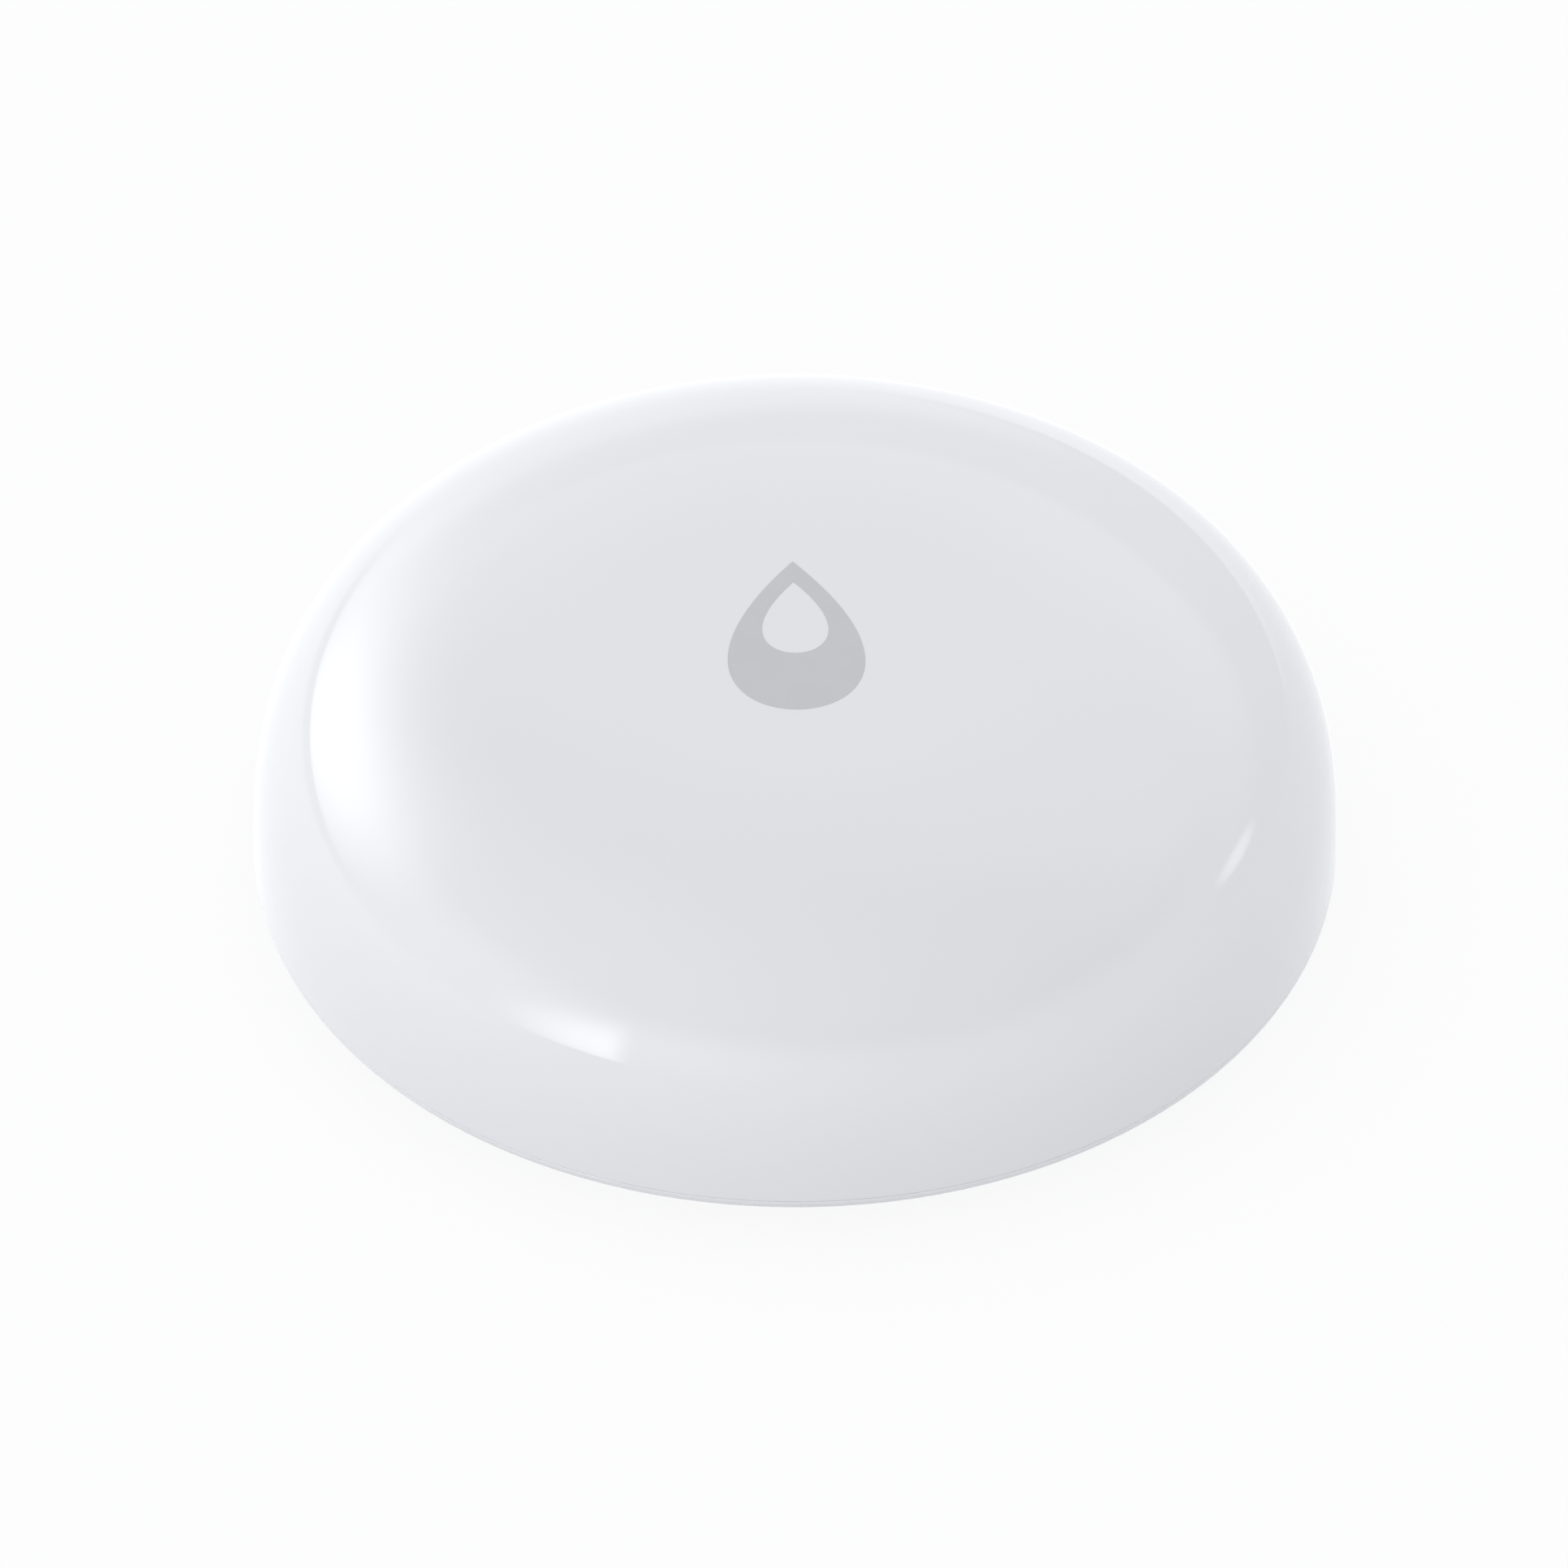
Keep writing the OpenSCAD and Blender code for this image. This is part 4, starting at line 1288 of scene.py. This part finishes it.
@dataclass
class Studio:
    """The pale floor, the soft light and the camera."""

    lights: tuple[SoftLight, ...] = (
        SoftLight("key", 3.5, -49.6, 24.3, 40.3, 35.6, 0.10, edges=((-49.6, 94.5),)),
        SoftLight("front left", 4.3, -142.0, 8.0, 30.0, 23.2, 0.05,
                  edges=((-135.7, 88.0), (-57.0, 0.0)), softness=(0.05, 0.10)),
        SoftLight("front left halo", 0.5, -152.0, 10.0, 34.0, 20.0, 0.2),
        SoftLight("right", 2.2, 77.0, 12.8, 10.0, 4.8, 0.3),
        SoftLight("ceiling", 1.04, 47.1, 43.9, 80.0, 29.6, 0.10, edges=((0.0, 118.7),)),
        SoftLight("overhead flag", -1.0, 136.2, 80.1, 70.1, 78.8, 0.80),
        SoftLight("horizon", 0.42, -8.0, 8.0, 25.0, 16.0, 0.5),
    )
    sky_level: float = 1.731
    sky_slope: tuple[float, float, float] = (-0.285, 0.028, -1.012)
    floor_half: float = 4.0
    floor_colour: Colour = (0.65, 0.65, 0.655)
    floor_glow: float = 0.88
    floor_white: float = 1.032
    floor_tint: Colour = (0.992, 0.993, 1.0)
    mirror_glow: float = 0.5
    shine: tuple[float, float] = (1.6, 2.2)
    shine_reach: tuple[float, float] = (-29.0 * MM, 82.0 * MM)
    shine_azimuth: float = -45.0
    camera_azimuth: float = -1.5
    camera_elevation: float = 41.02
    camera_distance: float = 1.0
    camera_aim_across: float = -0.526 * MM
    camera_aim_up: float = 5.969 * MM
    camera_lens: float = 498.4
    camera_near: float = 0.05
    sensor: float = 36.0

    def build(self) -> None:
        """Builds the floor, the light and the camera, and sets how colours are shown."""
        bpy.context.scene.view_settings.view_transform = "Standard"
        self.build_world()
        self.build_floor()
        self.build_camera()

    @staticmethod
    def mirrored(sheet: NodeSheet) -> Socket:
        """1 for rays that come by a reflection or through glass."""
        path = sheet.node("ShaderNodeLightPath").outputs
        return sheet.math("MAXIMUM", path["Is Glossy Ray"], path["Is Transmission Ray"])

    @staticmethod
    def direct(sheet: NodeSheet) -> Socket:
        """1 for rays that come straight to the camera."""
        return sheet.node("ShaderNodeLightPath").outputs["Is Camera Ray"]

    @staticmethod
    def light_group() -> Tree:
        """Shader group for one soft light.

        Returns:
            The group's tree.
        """
        vectors = ("Aim", "Across", "Upwards", "Edge", "Other edge")
        group = NodeGroup("Soft light", TreeKind.SHADER, [
            *ports(SocketKind.VECTOR, "Direction", *vectors),
            *ports(SocketKind.FLOAT, "Half width", "Half height", "Softness", "Other softness",
                   "Core", "Strength"),
        ], [Port("Light", SocketKind.FLOAT)])
        sheet, given = group.sheet, group.given
        toward = {name: sheet.dot(given["Direction"], given[name]) for name in vectors}
        ahead = sheet.math("GREATER_THAN", toward["Aim"], 0.0)
        side = sheet.math("DIVIDE", toward["Across"], given["Half width"])
        rise = sheet.math("DIVIDE", toward["Upwards"], given["Half height"])
        mask = sheet.ramp(sheet.hypotenuse(side, rise), 1.0, given["Core"])
        for edge, softness in (("Edge", "Softness"), ("Other edge", "Other softness")):
            inside = sheet.ramp(toward[edge], 0.0, given[softness])
            mask = sheet.math("MULTIPLY", mask, inside)
        strength = sheet.math("MULTIPLY", ahead, given["Strength"])
        return group.end(Light=sheet.math("MULTIPLY", mask, strength))

    def build_world(self) -> None:
        """Builds a soft sky, the lights that the gloss mirrors and a white background."""
        world = bpy.data.worlds.new("studio")
        bpy.context.scene.world = world
        sheet = NodeSheet.blank(world)
        direction = sheet.node("ShaderNodeTexCoord").outputs["Generated"]
        tree = self.light_group()
        sky = sheet.math("ADD", sheet.dot(direction, self.sky_slope), self.sky_level)
        mirror = self.mirrored(sheet)
        seen = sheet.math("MAXIMUM", self.direct(sheet), mirror)
        total = sheet.math("MULTIPLY_ADD", sky, sheet.math("SUBTRACT", 1.0, seen), seen)
        for light in self.lights:
            lamp = sheet.place(tree, {"Direction": direction, **light.feeds()})
            lamp.label = light.name
            total = sheet.math("MULTIPLY_ADD", lamp.outputs[0], mirror, total)
        background = sheet.node("ShaderNodeBackground", {"Color": (1, 1, 1, 1), "Strength": total})
        sheet.node("ShaderNodeOutputWorld", {"Surface": background.outputs[0]})

    def build_floor(self) -> None:
        """Builds the floor: white to the camera, with a faint shadow, and uneven in the gloss."""
        half = self.floor_half
        corners = [(-half, -half, 0), (half, -half, 0), (half, half, 0), (-half, half, 0)]
        mesh = bpy.data.meshes.new("floor")
        mesh.from_pydata(corners, [], [range(len(corners))])
        floor = link_object("floor", mesh)
        material = bpy.data.materials.new("pale_floor")
        sheet = NodeSheet.blank(material)
        matt = sheet.node("ShaderNodeBsdfDiffuse", {"Color": full(self.floor_colour)})
        along = sheet.dot(sheet.spot(), SoftLight.way(self.shine_azimuth, 0.0))
        shine = sheet.ramp(along, *self.shine_reach, *self.shine)
        mirror = self.mirrored(sheet)
        more = sheet.math("SUBTRACT", shine, self.floor_white)
        white = sheet.node("ShaderNodeEmission", {
            "Color": full(self.floor_tint),
            "Strength": sheet.math("MULTIPLY_ADD", mirror, more, self.floor_white)})
        shown = sheet.math("MULTIPLY", self.direct(sheet), self.floor_glow)
        share = sheet.math("MULTIPLY_ADD", mirror, self.mirror_glow, shown)
        mixed = sheet.node("ShaderNodeMixShader", {
            0: share, 1: matt.outputs[0], 2: white.outputs[0]})
        sheet.node("ShaderNodeOutputMaterial", {"Surface": mixed.outputs[0]})
        wear(floor, material)

    def build_camera(self) -> None:
        """Builds the camera at the photograph's angle, with its long lens."""
        turn, rise = math.radians(self.camera_azimuth), math.radians(self.camera_elevation)
        flat = math.cos(rise)
        back = Vector((math.sin(turn) * flat, -math.cos(turn) * flat, math.sin(rise)))
        across = Vector((math.cos(turn), math.sin(turn), 0.0))
        aim = across * self.camera_aim_across + Vector((0.0, 0.0, self.camera_aim_up))
        data = bpy.data.cameras.new("camera")
        data.sensor_width = self.sensor
        data.lens = self.camera_lens
        data.clip_start = self.camera_near
        camera = bpy.data.objects.new("camera", data)
        bpy.context.scene.collection.objects.link(camera)
        camera.location = aim + back * self.camera_distance
        camera.rotation_euler = (-back).to_track_quat("-Z", "Y").to_euler()
        bpy.context.scene.camera = camera


def finishes() -> tuple[Finish, ...]:
    """The finish of every material slot.

    Returns:
        The finishes, each named after its slot.
    """
    low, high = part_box("probe_screws")
    probe_place = high.x - (high.y - low.y) / 2.0
    return (
        MouldedFinish("shell_gloss", (0.713, 0.724, 0.756), (0.707, 0.719, 0.752), (0.035, 0.055),
                      drift_scale=60.0, grain_scale=900.0, relief=0.0002 * MM, index=1.47),
        MouldedFinish("mark_ink", (0.510, 0.521, 0.546), (0.502, 0.513, 0.539), (0.06, 0.11),
                      drift_scale=900.0, grain_scale=9000.0, index=1.47),
        MouldedFinish("base_plastic", (0.711, 0.722, 0.754), (0.703, 0.715, 0.748), (0.08, 0.12),
                      drift_scale=90.0, grain_scale=2500.0, relief=0.0006 * MM, index=1.47),
        MouldedFinish("cover_plastic", (0.69, 0.70, 0.725), (0.675, 0.685, 0.71), (0.40, 0.55),
                      drift_scale=110.0, grain_scale=7000.0, relief=0.012 * MM),
        MouldedFinish("seal_rubber", (0.06, 0.06, 0.064), (0.075, 0.075, 0.08), (0.5, 0.65),
                      drift_scale=300.0, grain_scale=6000.0, relief=0.004 * MM),
        TurnedMetalFinish("probe_nickel", (0.74, 0.72, 0.68), (0.68, 0.665, 0.63), (0.14, 0.26),
                          axis_place=probe_place),
        TurnedMetalFinish("insert_brass", (0.78, 0.57, 0.25), (0.70, 0.50, 0.20), (0.22, 0.36),
                          axis_place=probe_place),
        SheetMetalFinish("contact_metal", (0.72, 0.70, 0.64), (0.66, 0.64, 0.58), (0.22, 0.34)),
        BoardFinish("board_laminate", (0.02, 0.15, 0.075), (0.035, 0.23, 0.115), (0.32, 0.42)),
        SheetMetalFinish("screw_steel", (0.64, 0.64, 0.65), (0.58, 0.58, 0.59), (0.24, 0.36)),
        MouldedFinish("chip_epoxy", (0.028, 0.028, 0.032), (0.036, 0.036, 0.040), (0.42, 0.58),
                      drift_scale=700.0, grain_scale=12000.0, relief=0.004 * MM),
        SheetMetalFinish("crystal_lid", (0.70, 0.69, 0.66), (0.63, 0.62, 0.59), (0.2, 0.3)),
        MouldedFinish("antenna_ceramic", (0.84, 0.85, 0.81), (0.80, 0.81, 0.77), (0.25, 0.4),
                      drift_scale=500.0, grain_scale=9000.0, relief=0.003 * MM),
        MouldedFinish("led_resin", (0.85, 0.82, 0.60), (0.82, 0.79, 0.56), (0.06, 0.12),
                      drift_scale=900.0, grain_scale=6000.0, index=1.53),
        MouldedFinish("bulk_epoxy", (0.74, 0.43, 0.09), (0.68, 0.39, 0.08), (0.34, 0.46),
                      drift_scale=500.0, grain_scale=9000.0, relief=0.003 * MM),
        MouldedFinish("capacitor_ceramic", (0.50, 0.37, 0.23), (0.45, 0.33, 0.20), (0.4, 0.55),
                      drift_scale=800.0, grain_scale=12000.0, relief=0.003 * MM),
        MouldedFinish("switch_plastic", (0.028, 0.028, 0.028), (0.036, 0.036, 0.036), (0.4, 0.55),
                      drift_scale=400.0, grain_scale=9000.0, relief=0.004 * MM),
        MouldedFinish("plunger_plastic", (0.79, 0.79, 0.77), (0.76, 0.76, 0.74), (0.3, 0.42),
                      drift_scale=400.0, grain_scale=9000.0, relief=0.004 * MM),
        SheetMetalFinish("cell_steel", (0.67, 0.67, 0.68), (0.61, 0.61, 0.62), (0.18, 0.28)),
        MouldedFinish("cell_pellet", (0.055, 0.055, 0.06), (0.075, 0.075, 0.08), (0.7, 0.85),
                      drift_scale=700.0, grain_scale=14000.0, relief=0.01 * MM),
        MouldedFinish("gasket_nylon", (0.045, 0.045, 0.045), (0.055, 0.055, 0.055), (0.4, 0.55),
                      drift_scale=300.0, grain_scale=9000.0, relief=0.003 * MM),
    )


def main() -> None:
    """Builds the studio and every sub-assembly in order."""
    logging.basicConfig(level=logging.INFO, format="%(name)s: %(message)s")
    wardrobe = Wardrobe(finishes())
    shapes = LatheShapes()
    Studio().build()
    shell = TopShell(wardrobe)
    shell.build(shapes)
    DropMark(wardrobe).build(shell)
    Underside(wardrobe).build()
    Seals(wardrobe).build(shapes)
    Probes(wardrobe).build()
    Board(wardrobe).build()
    PushSwitch(wardrobe).build()
    Battery(wardrobe).build()


if __name__ == "__main__":
    main()
